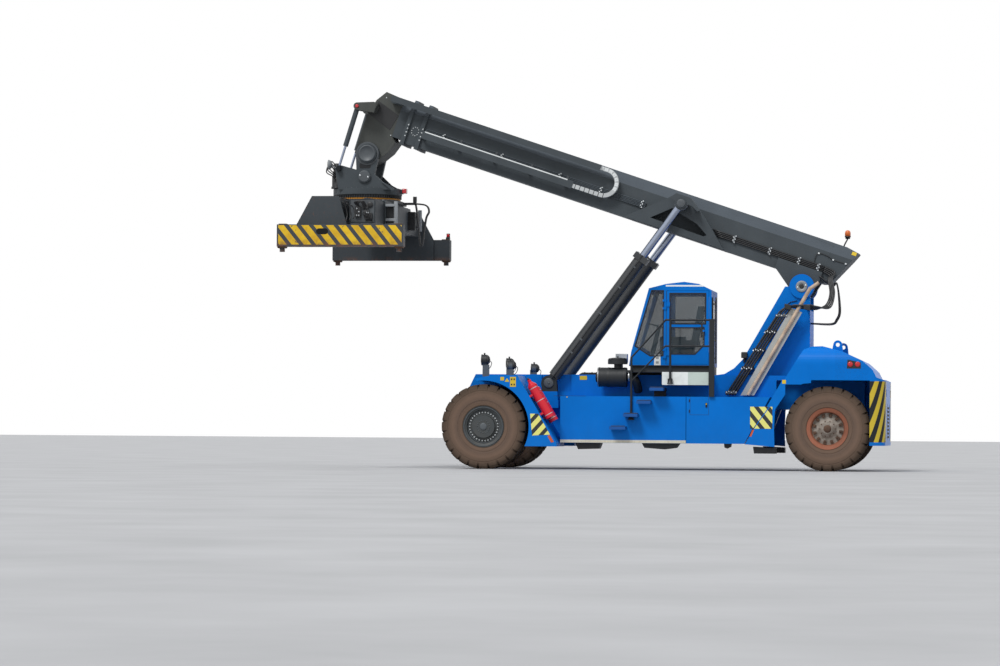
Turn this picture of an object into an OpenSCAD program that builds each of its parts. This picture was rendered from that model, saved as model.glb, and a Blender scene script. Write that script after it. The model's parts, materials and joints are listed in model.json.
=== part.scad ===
// Reach stacker: a rubber-tyred container handler with a telescopic boom and a turning spreader.
// Every place is measured from the front axle: +X forward, +Y to the driver's left, +Z up.
// The whole machine is then moved so that the origin is the middle of its outline on the floor.

/* [Wheels] */
// Outer radius of a tyre, over its lugs
tyre_r = 810; // [790:5:830]
// Width of one tyre
tyre_w = 480; // [440:5:490]
// Radius of the rim where the tyre sits on it
rim_r = 375; // [360:5:400]
// Distance from the front axle to the steer axle
wheelbase = 6540; // [6500:10:6600]
// Middle of the outer front tyre, from the centre line
outer_tyre_y = 1840; // [1830:5:1860]
// Middle of the inner front tyre, from the centre line
inner_tyre_y = 1295; // [1290:5:1310]
// Middle of a steered tyre, from the centre line
steer_tyre_y = 1350; // [1340:5:1370]
// King pin axis, from the centre line
king_pin_y = 1050; // [1040:5:1060]

/* [Chassis] */
// Top of the chassis girders above the floor
frame_top = 1830; // [1810:5:1850]
// Underside of the chassis girders between the axles
frame_low = 560; // [540:10:600]
// Outer face of a girder, from the centre line
frame_half = 850; // [840:5:860]
// Half width over the side boxes and the counterweight
body_half = 1650; // [1630:5:1670]
// Distance from the steer axle to the back of the counterweight
rear_overhang = 1095; // [1090:5:1120]
// Thickness of the plates of fenders and boxes
plate = 20; // [15:1:25]

/* [Cab] */
// Half width of the cab
cab_half = 700; // [690:5:720]
// Thickness of the cab's walls
cab_wall = 50; // [45:1:60]

/* [Boom] */
// Boom pivot, behind the front axle
pivot_back = 5986; // [5980:1:5990]
// Boom pivot above the floor
pivot_z = 3554; // [3550:1:3560]
// Slope of the parked boom, in degrees
boom_slope = 18.5; // [18.3:0.1:18.7]
// Half width of the outer boom
boom_half = 450; // [440:5:455]
// Wall of both boom sections
boom_wall = 25; // [20:1:30]
// Gap between the two boom sections
boom_gap = 20; // [15:1:25]

/* [Lifting cylinders] */
// Middle of a lifting cylinder, from the centre line
lift_y = 940; // [930:5:950]
// Radius of a lifting cylinder's barrel
barrel_r = 120; // [110:5:130]
// Radius of a lifting cylinder's rod
rod_r = 75; // [65:5:80]

/* [Spreader] */
// Turning axis of the spreader, ahead of the front axle
slew_x = 2640; // [2635:1:2645]
// Tips of the twistlocks above the floor
lock_tip_z = 4110; // [4100:5:4130]
// Length over the corners for a twenty foot container
spreader_length = 6058; // [6050:1:6060]
// Width over the corners
spreader_width = 2438; // [2430:1:2440]

/* [Hidden] */

$fn = 48;
body_blue = "#0a63c0";
boom_grey = "#4a4f54";
dark = "#2b2e31";

// The outline's middle lies between the spreader's front edge and the counterweight's back
front_reach = slew_x + spreader_width / 2;
rear_reach = wheelbase + rear_overhang;
axle_x = (rear_reach - front_reach) / 2;

axle_z = tyre_r;
run_gap = 6;
pin_gap = 0.5;
seat_gap = 0.3;
steer_swing_r = 1000;
narrow_half = 400;
rear_frame_low = 1180;

module placed() translate([axle_x, 0, 0]) children();
module both_sides() for (s = [1, -1]) scale([1, s, 1]) children();
// An outline in X and Z, given its thickness from y0 to y1
module side_plate(y0, y1) translate([0, y1, 0]) rotate([90, 0, 0])
    linear_extrude(y1 - y0) children();
// A round bar along Y
module bar_y(x, z, r, y0, y1) translate([x, y0, z]) rotate([-90, 0, 0])
    cylinder(r = r, h = y1 - y0);
module box(x0, x1, y0, y1, z0, z1) translate([x0, y0, z0]) cube([x1 - x0, y1 - y0, z1 - z0]);
// A round bar from point a to point b
module rod(a, b, r) {
    d = b - a;
    translate(a) rotate([0, acos(d.z / norm(d)), atan2(d.y, d.x)]) cylinder(r = r, h = norm(d));
}

// Chassis
girder_in = 560;
axle_pad_z = 1010;
arch_front_x = -1100;
arch_rear_x = -5520;
module girder_outline() polygon([[460, axle_pad_z + 60], [460, 1560], [330, frame_top],
    [arch_rear_x, frame_top], [arch_rear_x, rear_frame_low], [arch_rear_x + 250, frame_low],
    [arch_front_x, frame_low], [-620, axle_pad_z], [300, axle_pad_z]]);
module main_frame() color(body_blue) placed() {
    both_sides() difference() {
        side_plate(girder_in, frame_half) girder_outline();
        // Room for the lifting cylinder's barrel
        box(lift_base_x - 420, lift_base_x + 160, lift_recess_y, frame_half + 10, 1500, frame_top + 10);
    }
    // Cross members and the deck between the girders
    box(-1300, -1000, -girder_in, girder_in, 700, frame_top - 60);
    box(200, 440, -girder_in, girder_in, 1100, 1540);
    box(-2900, -2700, -girder_in, girder_in, 620, 1100);
    box(-4150, -1000, -girder_in, girder_in, frame_top - 60, frame_top);
    box(-5500, -5300, -girder_in, girder_in, rear_frame_low, frame_top);
    // Narrow rear frame between the steered wheels
    box(-rear_reach + 500, -5350, -narrow_half, narrow_half, rear_frame_low, arch_top - seat_gap);
    // Lugs that carry the lifting cylinders
    both_sides() difference() {
        union() {
            side_plate(lift_recess_y - 5, lift_y - lug_gap) lift_lug_outline();
            side_plate(lift_y + lug_gap, lift_y + lug_gap + 40) lift_lug_outline();
            box(lift_base_x - 190, lift_base_x + lug_foot, frame_half - 5, lift_y + lug_gap + 40,
                1180, 1330);
        }
        bar_y(lift_base_x, lift_base_z, lift_pin_r, frame_half, lift_y + 300);
    }
}
lift_recess_y = frame_half - 45;
lug_foot = 75;
module lift_lug_outline() hull() {
    translate([lift_base_x - 190, 1180]) square([190 + lug_foot, 20]);
    translate([lift_base_x, lift_base_z]) circle(r = 150);
}

// Boom tower with its pivot
tower_in = 560;
tower_out = 640;
pivot_x = -pivot_back;
pivot_pin_r = 100;
module tower_outline() {
    difference() {
        polygon([[-4290, frame_top], [-4500, 1860], [-4685, 1970], [-4860, 2150], [-5690, 3600],
            [-5900, 3760], [-6150, 3600], [-6150, 2365], [-6150, frame_top]]);
        translate([pivot_x, pivot_z]) difference() {
            translate([-400, 0]) square([800, 400]);
            circle(r = 240);
        }
    }
    translate([pivot_x, pivot_z]) circle(r = 240);
}
module boom_tower() color(body_blue) placed() {
    both_sides() difference() {
        union() {
            side_plate(tower_in, tower_out) tower_outline();
            bar_y(pivot_x, pivot_z, 230, tower_out, tower_out + 40);
        }
        bar_y(pivot_x, pivot_z, pivot_pin_r + pin_gap, tower_in - 10, tower_out + 20);
    }
    box(-6150, -5950, -tower_in, tower_in, frame_top, 3100);
    box(-5000, -4800, -tower_in, tower_in, frame_top, 2060);
}

// Axles
spindle_r = 90;
hub_face_y = 1010;
module front_axle() color(dark) placed() {
    translate([0, 0, axle_z]) {
        rotate([90, 0, 0]) cylinder(r = 150, h = 2 * hub_face_y, center = true);
        rotate([90, 0, 0]) cylinder(r = spindle_r, h = 2 * (outer_tyre_y + 40), center = true);
        sphere(r = 290);
        both_sides() translate([-200, girder_in, -100]) cube([400, frame_half - girder_in, 300]);
    }
}
fork_in = 130;
king_pin_r = 60;
module steer_axle() color(dark) placed() translate([-wheelbase, 0, axle_z]) {
    difference() {
        union() {
            translate([-150, -(king_pin_y - 120), -120])
                cube([300, 2 * (king_pin_y - 120), 240]);
            both_sides() translate([-110, king_pin_y - 300, -250]) cube([220, 180, 500]);
            both_sides() for (z = [fork_in + 60, -fork_in - 120]) translate([0, king_pin_y, z]) {
                cylinder(r = 100, h = 60);
                translate([-100, -140, 0]) cube([200, 140, 60]);
            }
            translate([-140, -340, 0]) cube([280, 680, rear_frame_low - axle_z]);
        }
        both_sides() translate([0, king_pin_y, -400]) cylinder(r = king_pin_r + pin_gap, h = 800);
    }
}
module knuckle() placed() translate([-wheelbase, king_pin_y, axle_z]) {
    translate([0, 0, -250]) cylinder(r = king_pin_r, h = 500);
    translate([0, 0, -fork_in - 50]) cylinder(r = 105, h = 2 * fork_in + 100);
    rotate([-90, 0, 0]) cylinder(r = 85, h = 390);
    translate([0, 60, 0]) rotate([-90, 0, 0]) cylinder(r = 150, h = 60);
}
module knuckle_left() color(dark) knuckle();
module knuckle_right() color(dark) scale([1, -1, 1]) knuckle();

// Wheels, drawn about their own axis with the outside at +Z
module tyre() rotate_extrude($fn = 48) polygon([[rim_r, -tyre_w / 2 + 60], [rim_r + 40, -tyre_w / 2 + 20],
    [600, -tyre_w / 2], [tyre_r - 50, -tyre_w / 2 + 12], [tyre_r, -tyre_w / 2 + 50],
    [tyre_r, tyre_w / 2 - 50], [tyre_r - 50, tyre_w / 2 - 12], [600, tyre_w / 2],
    [rim_r + 40, tyre_w / 2 - 20], [rim_r, tyre_w / 2 - 60]]);
module on_axle(x, y) placed() translate([x, y, axle_z]) rotate([-90, 0, 0]) children();
module front_tyres() {
    on_axle(0, outer_tyre_y) tyre();
    on_axle(0, inner_tyre_y) tyre();
}
// Both rims, their drum and the hub in one turned shape, from the middle of the outer tyre
dual_gap = outer_tyre_y - inner_tyre_y;
bead = tyre_w / 2 - 45;
seat_r = rim_r - seat_gap;
hub_in = outer_tyre_y - hub_face_y - run_gap;
hub_bore_r = spindle_r + pin_gap;
module front_rims() on_axle(0, outer_tyre_y) rotate_extrude() polygon([[0, 70], [0, 205],
    [215, 205], [225, 150], [325, 135], [325, bead], [rim_r + 22, bead + 28],
    [rim_r + 22, bead + 8], [seat_r, bead - 14], [seat_r, -dual_gap - bead],
    [rim_r - 30, -dual_gap - bead], [rim_r - 30, -dual_gap - 40], [280, -dual_gap - 40],
    [280, -hub_in], [hub_bore_r, -hub_in], [hub_bore_r, 70]]);
module tyres_front_left() color("#5c4f45") front_tyres();
module rims_front_left() color("#3f4548") front_rims();
module tyres_front_right() color("#5c4f45") scale([1, -1, 1]) front_tyres();
module rims_front_right() color("#3f4548") scale([1, -1, 1]) front_rims();

module steer_rim() on_axle(-wheelbase, steer_tyre_y) difference() {
    rotate_extrude() polygon([[0, 205], [90, 205], [180, 120], [300, 100], [330, bead],
        [rim_r + 22, bead + 28], [rim_r + 22, bead + 8], [seat_r, bead - 14], [seat_r, -bead],
        [rim_r - 30, -bead], [rim_r - 40, 60], [200, 40], [180, -60], [0, -60]]);
    translate([0, 0, -200]) cylinder(r = 85 + pin_gap, h = 300);
}
module tyre_steer_left() color("#5c4f45") on_axle(-wheelbase, steer_tyre_y) tyre();
module rim_steer_left() color("#b3714f") steer_rim();
module tyre_steer_right() color("#5c4f45") scale([1, -1, 1]) on_axle(-wheelbase, steer_tyre_y) tyre();
module rim_steer_right() color("#b3714f") scale([1, -1, 1]) steer_rim();

// Boxes along both sides
box_top = 1406;
box_low = 513;
module side_boxes() color(body_blue) placed() both_sides() {
    box(-3845, -1430, frame_half + seat_gap, body_half, box_low, box_top);
    side_plate(frame_half + seat_gap, body_half) polygon([[-3855, box_low], [-3855, box_top],
        [-5450, box_top], [-4960, box_low]]);
}

// Fender over each pair of front wheels, open towards the chassis
fender_out = 2085;
fender_top = 1795;
fender_back = -650;
fender_toe = [-1415, 510];
arch_r = 880;
module fender_outline(grow) difference() {
    polygon([[190 + grow, 1725], [-195, fender_top + grow], [fender_back, fender_top + grow],
        [fender_toe.x - grow, fender_toe.y], [fender_toe.x - grow, 440 - grow], [-500, 440 - grow],
        [-500, 1300]]);
    translate([0, axle_z]) circle(r = arch_r - grow);
}
module front_fenders() color(body_blue) placed() both_sides() {
    difference() {
        side_plate(frame_half + seat_gap, fender_out) fender_outline(0);
        side_plate(frame_half + plate, fender_out - plate) fender_outline(-plate);
        side_plate(frame_half - 10, frame_half + plate + 10) fender_outline(-3 * plate);
    }
}

// Skirt ahead of the steered wheel
module rear_skirts() color(body_blue) placed() both_sides() difference() {
    side_plate(body_half - 60, body_half) polygon([[-5685, 1735], [-6230, 1735], [-6230, 1680],
        [-6070, 1665], [-5745, 1465], [-5545, 1170], [-5530, 805], [-5540, 460], [-4975, 505]]);
    translate([-wheelbase, king_pin_y, 400]) cylinder(r = steer_swing_r, h = 1250);
}

// Counterweight with the hood over the steered wheels
cw_low = 495;
arch_top = 1735;
module hood_outline() polygon([[-5715, arch_top], [-6080, 2320], [-6235, 2380], [-6425, 2390],
    [-6815, 2285], [-7200, 2110], [-7395, 1935], [-7470, 1790], [-rear_reach, arch_top]]);
module cw_plan() hull() {
    translate([-5700, -body_half]) square([10, 2 * body_half]);
    both_sides() translate([-rear_reach + 260, body_half - 260]) circle(r = 260);
}
module front_view() hull() for (s = [1, -1]) {
    translate([s * (body_half - 350), 2040]) circle(r = 350);
    translate([s * body_half - 5, 300]) square([10, 10]);
}
lug_x = -6710;
lug_z = 2420;
lug_y = 1150;
lug_hole_r = 38;
module counterweight() color(body_blue) placed() difference() {
    union() {
        both_sides() side_plate(lug_y - 20, lug_y + 20) hull() {
            translate([lug_x, lug_z]) circle(r = 85);
            translate([lug_x - 110, 2200]) square([240, 10]);
        }
        intersection() {
            union() {
                side_plate(-body_half, body_half) hood_outline();
                box(-rear_reach, -6900, -body_half, body_half, cw_low, arch_top + 10);
            }
            translate([0, 0, 400]) linear_extrude(2200) cw_plan();
            translate([-8000, 0, 0]) rotate([90, 0, 90]) linear_extrude(2500) front_view();
        }
    }
    both_sides() {
        bar_y(lug_x, lug_z, lug_hole_r, lug_y - 100, lug_y + 100);
        // Recess for the rear lamp
        box(-rear_reach - 10, -rear_reach + 40, 980, 1220, 1430, 1570);
    }
    both_sides() translate([-wheelbase, king_pin_y, 300])
        cylinder(r = steer_swing_r, h = arch_top - 300);
    box(-7200, -5600, -narrow_half - 10, narrow_half + 10, 400, arch_top);
    box(-6200, -5600, -tower_out - 60, tower_out + 60, 400, 2600);
}

// Engine and gearbox as one block between the girders
module engine_block() color(dark) placed() {
    box(-4650, -3300, -430, 430, 640, 1500);
    for (x = [-4550, -3500]) box(x, x + 120, -girder_in, girder_in, 900, 980);
}

// Cab
cab_floor = 2005;
cab_front = -2650;
cab_rear = -4248;
cab_roof = 3640;
function cab_points(t) = [[cab_front - t, cab_floor + t], [-2690 - t, 2275], [-3030 - t, 3515 - t],
    [-3370, 3600 - t], [-3715, cab_roof - t], [-4000, 3600 - t], [cab_rear + t, 3480 - t],
    [cab_rear + t, cab_floor + t]];
door_front = -3370;
door_rear = -4200;
door_low = 2040;
door_top = 3470;
module door_opening(t) polygon([[door_front + t, door_low - t], [door_front + t, door_top + t],
    [door_rear - t, door_top + t], [door_rear - t, door_low - t]]);
module side_window(t) polygon([[-2780 - t, 2400 + t], [-3095 - t, 3455 - t], [-3300 + t, 3455 - t],
    [-3300 + t, 2215 + t], [-3065, 2215 + t]]);
module rear_side_window(t) translate([-4180 + t, 2300 + t]) square([760 - 2 * t, 1100 - 2 * t]);
module cab_shell() color(body_blue) placed() {
    cab_box();
    // Knuckles of the door's hinges
    for (z = hinge_table, end = [-50 - seat_gap, knuckle_h + seat_gap]) translate([0, 0, z + end]) {
        translate([hinge_x, hinge_y, 0]) cylinder(r = hinge_r, h = 50);
        box(hinge_x, hinge_x + 60, hinge_y - 8, hinge_y + 2, 5, 45);
        box(hinge_x + 25, hinge_x + 60, cab_half - 5, hinge_y - 6, 5, 45);
    }
}
module cab_box() difference() {
    side_plate(-cab_half, cab_half) polygon(cab_points(0));
    side_plate(-cab_half + cab_wall, cab_half - cab_wall) polygon(cab_points(cab_wall));
    side_plate(cab_half - cab_wall - 10, cab_half + 10) door_opening(0);
    both_sides() side_plate(cab_half - cab_wall - 10, cab_half + 10) side_window(0);
    side_plate(-cab_half - 10, -cab_half + cab_wall + 10) rear_side_window(0);
    // Windscreen and rear window
    box(-3200, -2500, -glass_half, glass_half, 2320, 3420);
    box(cab_rear - 50, cab_rear + 100, -glass_half, glass_half, 2500, 3300);
    box(-3900, -3200, -500, 500, 3500, 3700);
}
glass_half = 590;
pane = 6;
module cab_glass() color("#7f98a8") placed() {
    intersection() {
        difference() {
            side_plate(-glass_half + seat_gap, glass_half - seat_gap) polygon(cab_points(15));
            side_plate(-glass_half, glass_half) polygon(cab_points(15 + pane));
        }
        box(-3200, -2500, -glass_half, glass_half, 2320 + seat_gap, 3420 - seat_gap);
    }
    box(cab_rear + 20, cab_rear + 20 + pane, -glass_half + seat_gap, glass_half - seat_gap, 2500 + seat_gap,
        3300 - seat_gap);
    both_sides() side_plate(cab_half - 30, cab_half - 30 + pane) side_window(seat_gap);
    side_plate(-cab_half + 30, -cab_half + 30 + pane) rear_side_window(seat_gap);
}
inside_floor = cab_floor + cab_wall + seat_gap;
module cab_interior() color(dark) placed() {
    // Seat
    box(-3850, -3650, -220, 220, inside_floor, 2400);
    box(-3950, -3450, -260, 260, 2400, 2520);
    side_plate(-240, 240) polygon([[-3930, 2520], [-3820, 2520], [-3950, 3180], [-4060, 3180]]);
    // Steering column, wheel and console
    box(-3080, -2930, -80, 80, inside_floor, inside_floor + 60);
    rod([-3005, 0, inside_floor + 30], [-3160, 0, 2780], 45);
    translate([-3160, 0, 2780]) rotate([0, -14, 0]) cylinder(r = 210, h = 30);
    box(-3650, -3150, -520, -330, inside_floor, 2600);
}
module cab_base() color(dark) placed() {
    box(-4240, -2700, -cab_half + 30, cab_half - 30, frame_top + seat_gap, cab_floor - seat_gap);
    box(-4285, -2700, cab_half - 30, body_half, 1870, 1910);
    box(-4285, -3385, frame_half + seat_gap, body_half, 1630, 1880);
}
hinge_x = door_front + 8;
hinge_y = cab_half + 16;
hinge_r = 14;
hinge_table = [2200, 3150];
knuckle_h = 100;
module cab_door() color(body_blue) placed() difference() {
    union() {
        side_plate(cab_half - cab_wall, cab_half) door_opening(-run_gap);
        bar_y(-4100, 2690, 20, cab_half - 5, cab_half + 60);
        for (z = hinge_table) {
            translate([hinge_x, hinge_y, z]) cylinder(r = hinge_r, h = knuckle_h);
            box(hinge_x - 80, hinge_x, hinge_y - 8, hinge_y + 2, z + 10, z + knuckle_h - 10);
            box(hinge_x - 80, hinge_x - 25, cab_half - 5, hinge_y - 6, z + 10, z + knuckle_h - 10);
        }
    }
    side_plate(cab_half - cab_wall - 10, cab_half + 10) door_upper_window(0);
    side_plate(cab_half - cab_wall - 10, cab_half + 10) door_lower_window(0);
}
module door_upper_window(t) translate([-4120 + t, 2840 + t]) square([665 - 2 * t, 560 - 2 * t]);
module door_lower_window(t) polygon([[-3450 - t, 2250 + t], [-3450 - t, 2740 - t],
    [-4095 + t, 2740 - t], [-4095 + t, 2420 + t], [-3930 + t, 2250 + t]]);
module door_glass() color("#7f98a8") placed() side_plate(cab_half - 30, cab_half - 30 + pane) {
    door_upper_window(seat_gap);
    door_lower_window(seat_gap);
}

// Steps and handrails to the cab
rail_y = 1685;
tube_r = 19;
step_out = 1950;
step_table = [[-2715, -2410, 770], [-2945, -2675, 1015], [-3195, -2925, 1265], [-3435, -3175, 1515]];
module rail_tube(points, r) for (i = [0 : len(points) - 2])
    rod([points[i].x, rail_y, points[i][1]], [points[i + 1].x, rail_y, points[i + 1][1]], r);
module steps_and_rails() color(body_blue) placed() {
    rail_tube([[-2790, 2140], [-3455, 2870]], tube_r - 2);
    rail_tube([[-3440, 2870], [-4300, 2870]], tube_r);
    rail_tube([[-2810, 1705], [-3455, 2375]], tube_r - 4);
    rail_tube([[-3440, 2370], [-4300, 2370]], tube_r - 1);
    rail_tube([[-3545, 1720], [-3545, 2895]], tube_r + 3);
    rail_tube([[-2800, 1050], [-2800, 2165]], tube_r + 2);
    box(-3590, -3500, body_half + seat_gap, rail_y + 20, 1650, 1750);
    box(-4385, -4290, body_half - 60, rail_y + 20, box_top + seat_gap, 2890);
    for (step = step_table)
        box(step[0], step[1], step[2] > box_top ? 1200 : body_half + seat_gap, step_out, step[2], step[2] + 60);
    box(-3425, -3195, 1200, 1240, box_top + seat_gap, 1520);
}

module air_cleaner() color(dark) placed() {
    translate([-2380, 1150, 1780]) rotate([0, 0, 0]) rotate([90, 0, 90]) translate([0, 0, -280])
        cylinder(r = 185, h = 560);
    box(-2500, -2260, frame_half + seat_gap, 1000, 1700, 1760);
    translate([-2480, 1150, 1900]) cylinder(r = 70, h = 150);
    translate([-2480, 1150, 2030]) cylinder(r = 190, h = 90);
}

// Two fire extinguishers on the sloping rear edge of the left fender
bottle_r = 92;
bottle_length = 700;
slope_angle = atan2(fender_top - fender_toe.y, fender_back - fender_toe.x);
slope_top = [fender_back, fender_top] - 400 * [cos(slope_angle), sin(slope_angle)];
bottle_table = [[1950, 90], [1730, 10]];
module fire_extinguishers() color("#d8203a") placed()
    translate([slope_top.x, 0, slope_top[1]]) rotate([0, 90 - slope_angle, 0])
        for (b = bottle_table) translate([-bottle_r - 40, b[0], b[1]]) {
            translate([0, 0, -bottle_length]) cylinder(r = bottle_r, h = bottle_length);
            translate([0, 0, -1]) cylinder(r1 = bottle_r, r2 = 35, h = 80);
            translate([0, 0, 70]) cylinder(r = 35, h = 60);
            for (z = [-bottle_length + 120, -180]) translate([bottle_r - 20, -bottle_r, z])
                cube([60 - seat_gap, 2 * bottle_r, 40]);
        }

module exhaust() color("#b4b4b0") placed() {
    side_plate(900, 912) polygon([[-4835, 1445], [-5095, 1445], [-6010, 3045], [-5800, 3135]]);
    rod([-4985, 930, 1450], [-6170, 930, 3520], 36);
    rod([-6160, 930, 3500], [-6330, 930, 3620], 35);
    for (z = [1900, 2800]) translate([-4850 - 0.59 * (z - 1445), 0, z])
        box(-160, 0, tower_out + seat_gap, 905, 0, 60);
}

module front_lamps() color(dark) placed() both_sides() {
    box(-60, 60, 1700, 1800, 1770.5 + seat_gap, 2000);
    translate([40, 1750, 2090]) rotate([0, 90, 0]) translate([0, 0, -60]) cylinder(r = 100, h = 100);
    box(-530, -400, 1700, 1800, 1795 + seat_gap, 1960);
    translate([-465, 1750, 1990]) rotate([0, 90, 0]) translate([0, 0, -60]) cylinder(r = 90, h = 100);
}
module rear_lamps() color("#b02020") placed() both_sides()
    box(-rear_reach + 5, -rear_reach + 40 - seat_gap, 1000, 1200, 1450, 1550);
hose_r = 20;
hose_y = 900;
module tower_hoses() color(dark) placed() {
    for (i = [0 : 3]) rod([-4560 - 52 * i, hose_y, 1450], [-5540 - 52 * i, hose_y, 3000], hose_r);
    // Clamps on brackets from the tower
    for (z = [1980, 2330, 2680]) translate([-4560 - 0.632 * (z - 1450), 0, z])
        box(-178, 40, tower_out + seat_gap, hose_y + hose_r + 5, -25, 25);
}

// Boom, drawn along its own axis: X along the boom from the pivot, Z square to it
module along_boom() placed() translate([pivot_x, 0, pivot_z]) rotate([0, -boom_slope, 0]) children();
boom_low = 187;
boom_side = 800;
boom_top = 1010;
boom_top_half = 270;
boom_back = -300;
boom_front = 8100;
// The boom's cross section, with Y across and Z up, set in by t on every side
function section(t) = [[-(boom_half - t), boom_low + t], [boom_half - t, boom_low + t],
    [boom_half - t, boom_side - 0.4 * t], [boom_top_half - 0.4 * t, boom_top - t],
    [-(boom_top_half - 0.4 * t), boom_top - t], [-(boom_half - t), boom_side - 0.4 * t]];
module tube(x0, x1, t0, t1) translate([x0, 0, 0]) rotate([90, 0, 90]) linear_extrude(x1 - x0)
    difference() {
        polygon(section(t0));
        polygon(section(t1));
    }
collar_table = [[8020, 8100], [8320, 8400]];
module outer_boom() color(boom_grey) along_boom() {
    tube(boom_back, collar_table[1][1], 0, boom_wall);
    for (c = collar_table) tube(c[0], c[1], -50, 0);
    // Wear pads round the inner boom
    box(8100, 8380, -300, 300, boom_low + boom_wall - 1, boom_low + inner_inset - seat_gap);
    both_sides() box(8100, 8380, boom_half - inner_inset + seat_gap, boom_half - boom_wall + 1, 300, 700);
    // Rear end with the pivot lugs
    both_sides() side_plate(boom_half - 60, boom_half + 60) rear_lug_outline();
    bar_y(0, 0, pivot_pin_r, -tower_out - 10, tower_out + 10);
    both_sides() bar_y(0, 0, 170, boom_half, tower_in - seat_gap);
    intersection() {
        side_plate(-boom_half, boom_half) polygon([[boom_back + 30, boom_low - 20], [-490, 240],
            [-830, 960], [boom_back + 30, boom_top + 50]]);
        translate([-900, 0, 0]) rotate([90, 0, 90]) linear_extrude(700) polygon(section(2));
    }
    // Brackets for the lifting cylinders
    both_sides() {
        side_plate(boom_half - 5, bracket_in - 30) difference() {
            bracket_outline(-3);
            bracket_outline(-20);
        }
        side_plate(bracket_in - 30, bracket_in) difference() {
            bracket_outline(0);
            bracket_window();
        }
        side_plate(bracket_out, bracket_out + 30) bracket_ear();
        side_plate(bracket_in - 15, bracket_out + 15) bracket_rear_flange();
        bar_y(rod_pin_u, rod_pin_w, 100, bracket_out + 15, bracket_out + 50);
    }
}
rod_plate_gap = 90;
rod_pin_u = 2690;
rod_pin_w = 770;
module rear_lug_outline() hull() {
    circle(r = 220);
    translate([-280, boom_low + 4]) square([900, 200]);
}
// Bracket on the boom's side: a box out to the inner ear, and an outer ear held by a flange
bracket_in = lift_y - barrel_r - 25;
bracket_out = lift_y + rod_plate_gap;
bracket_low = boom_low + 5;
module bracket_outline(grow) polygon([[3690 + 2.4 * grow, bracket_low - grow], [2840 + grow, 935 + grow],
    [2560 - grow, 935 + grow], [2060, 550 + 1.3 * grow], [1660 - 2.4 * grow, bracket_low - grow]]);
module bracket_rear_flange() polygon([[2545, 915], [2330, 750], [2343, 734], [2558, 898]]);
module bracket_window() polygon([[3200, 330], [2850, 640], [2750, 600], [2300, 500], [2050, 350],
    [2100, 310]]);
module bracket_ear() difference() {
    union() {
        polygon([[2960, 790], [2840, 930], [2555, 930], [2320, 750], [2340, 720], [2480, 790]]);
        translate([rod_pin_u, rod_pin_w]) circle(r = 125);
    }
    translate([rod_pin_u + 235, rod_pin_w - 80]) circle(r = 120);
    translate([rod_pin_u - 215, rod_pin_w - 125]) circle(r = 120);
}

trough_y0 = 520;
trough_y1 = 640;
trough_w = 380;
pipe_r = 11;
clamp_table = [3450, 4300, 5155, 6365, 7580];
module chain_trough() color(boom_grey) along_boom() {
    box(4865, 8000, trough_y0, trough_y1, trough_w, trough_w + 20);
    box(4865, 8000, trough_y1 - 10, trough_y1, trough_w, trough_w + 150);
    for (u = [5000 : 740 : 8000]) box(u, u + 40, boom_half, trough_y0 + 5, trough_w, trough_w + 60);
    for (i = [0 : 4]) bar_x(3400, 8000, boom_half + 25, 475 + 26 * i, pipe_r);
    for (u = clamp_table) box(u, u + 50, boom_half, boom_half + 45, 455, 600);
}
module bar_x(x0, x1, y, z, r) translate([x0, y, z]) rotate([0, 90, 0]) cylinder(r = r, h = x1 - x0);

inner_inset = boom_wall + boom_gap;
module inner_boom() color(boom_grey) along_boom() {
    tube(660, 8600, inner_inset, inner_inset + boom_wall);
}

// Head of the inner boom
head_half = 350;
hang_x = 2570;
hang_z = 6165;
low_pin_x = 2610;
low_pin_z = 5710;
hang_pin_r = 110;
module head_outline() polygon([[8600, 232], [8600, 960], [8700, 1010], [8995, 1035], [9135, 820],
    [9225, 475], [9225, 100], [9215, -285], [9060, -470], [8860, -470], [8720, -300], [8570, -70],
    [8500, 150]]);
function boom_u(x, z) = (x - pivot_x) * cos(boom_slope) + (z - pivot_z) * sin(boom_slope);
function boom_w(x, z) = (z - pivot_z) * cos(boom_slope) - (x - pivot_x) * sin(boom_slope);
module boom_head() color("#5a5a55") along_boom() difference() {
    union() {
        side_plate(-head_half, head_half) head_outline();
        // Brackets for the damping cylinders
        both_sides() {
            side_plate(head_half - 10, damper_y - damper_eye_half - run_gap) damper_lug_outline();
            side_plate(damper_lug_y, damper_lug_y + 40) damper_lug_outline();
        }
        side_plate(-damper_lug_y - 40, damper_lug_y + 40) polygon([[9040, 560], [9040, 700],
            [9150, 700], [9170, 560]]);
    }
    bar_y(boom_u(hang_x, hang_z), boom_w(hang_x, hang_z), hang_pin_r + pin_gap, -900, 900);
    bar_y(boom_u(damper_top.x, damper_top.z), boom_w(damper_top.x, damper_top.z), 28 + pin_gap, -900, 900);
}
module damper_lug_outline() hull() {
    translate([9050, 560]) square([60, 200]);
    translate([boom_u(damper_top.x, damper_top.z), boom_w(damper_top.x, damper_top.z)]) circle(r = 70);
}

tray_y0 = 520;
tray_y1 = 700;
tray_w = 985;
module chain_tray() color(boom_grey) along_boom() {
    box(4445, 8805, tray_y0, tray_y1, tray_w, tray_w + 15);
    box(4445, 8805, tray_y1 - 12, tray_y1, 880, tray_w + 15);
    box(8610, 8805, head_half + seat_gap, tray_y0 + 1, 860, 1000);
}

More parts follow.
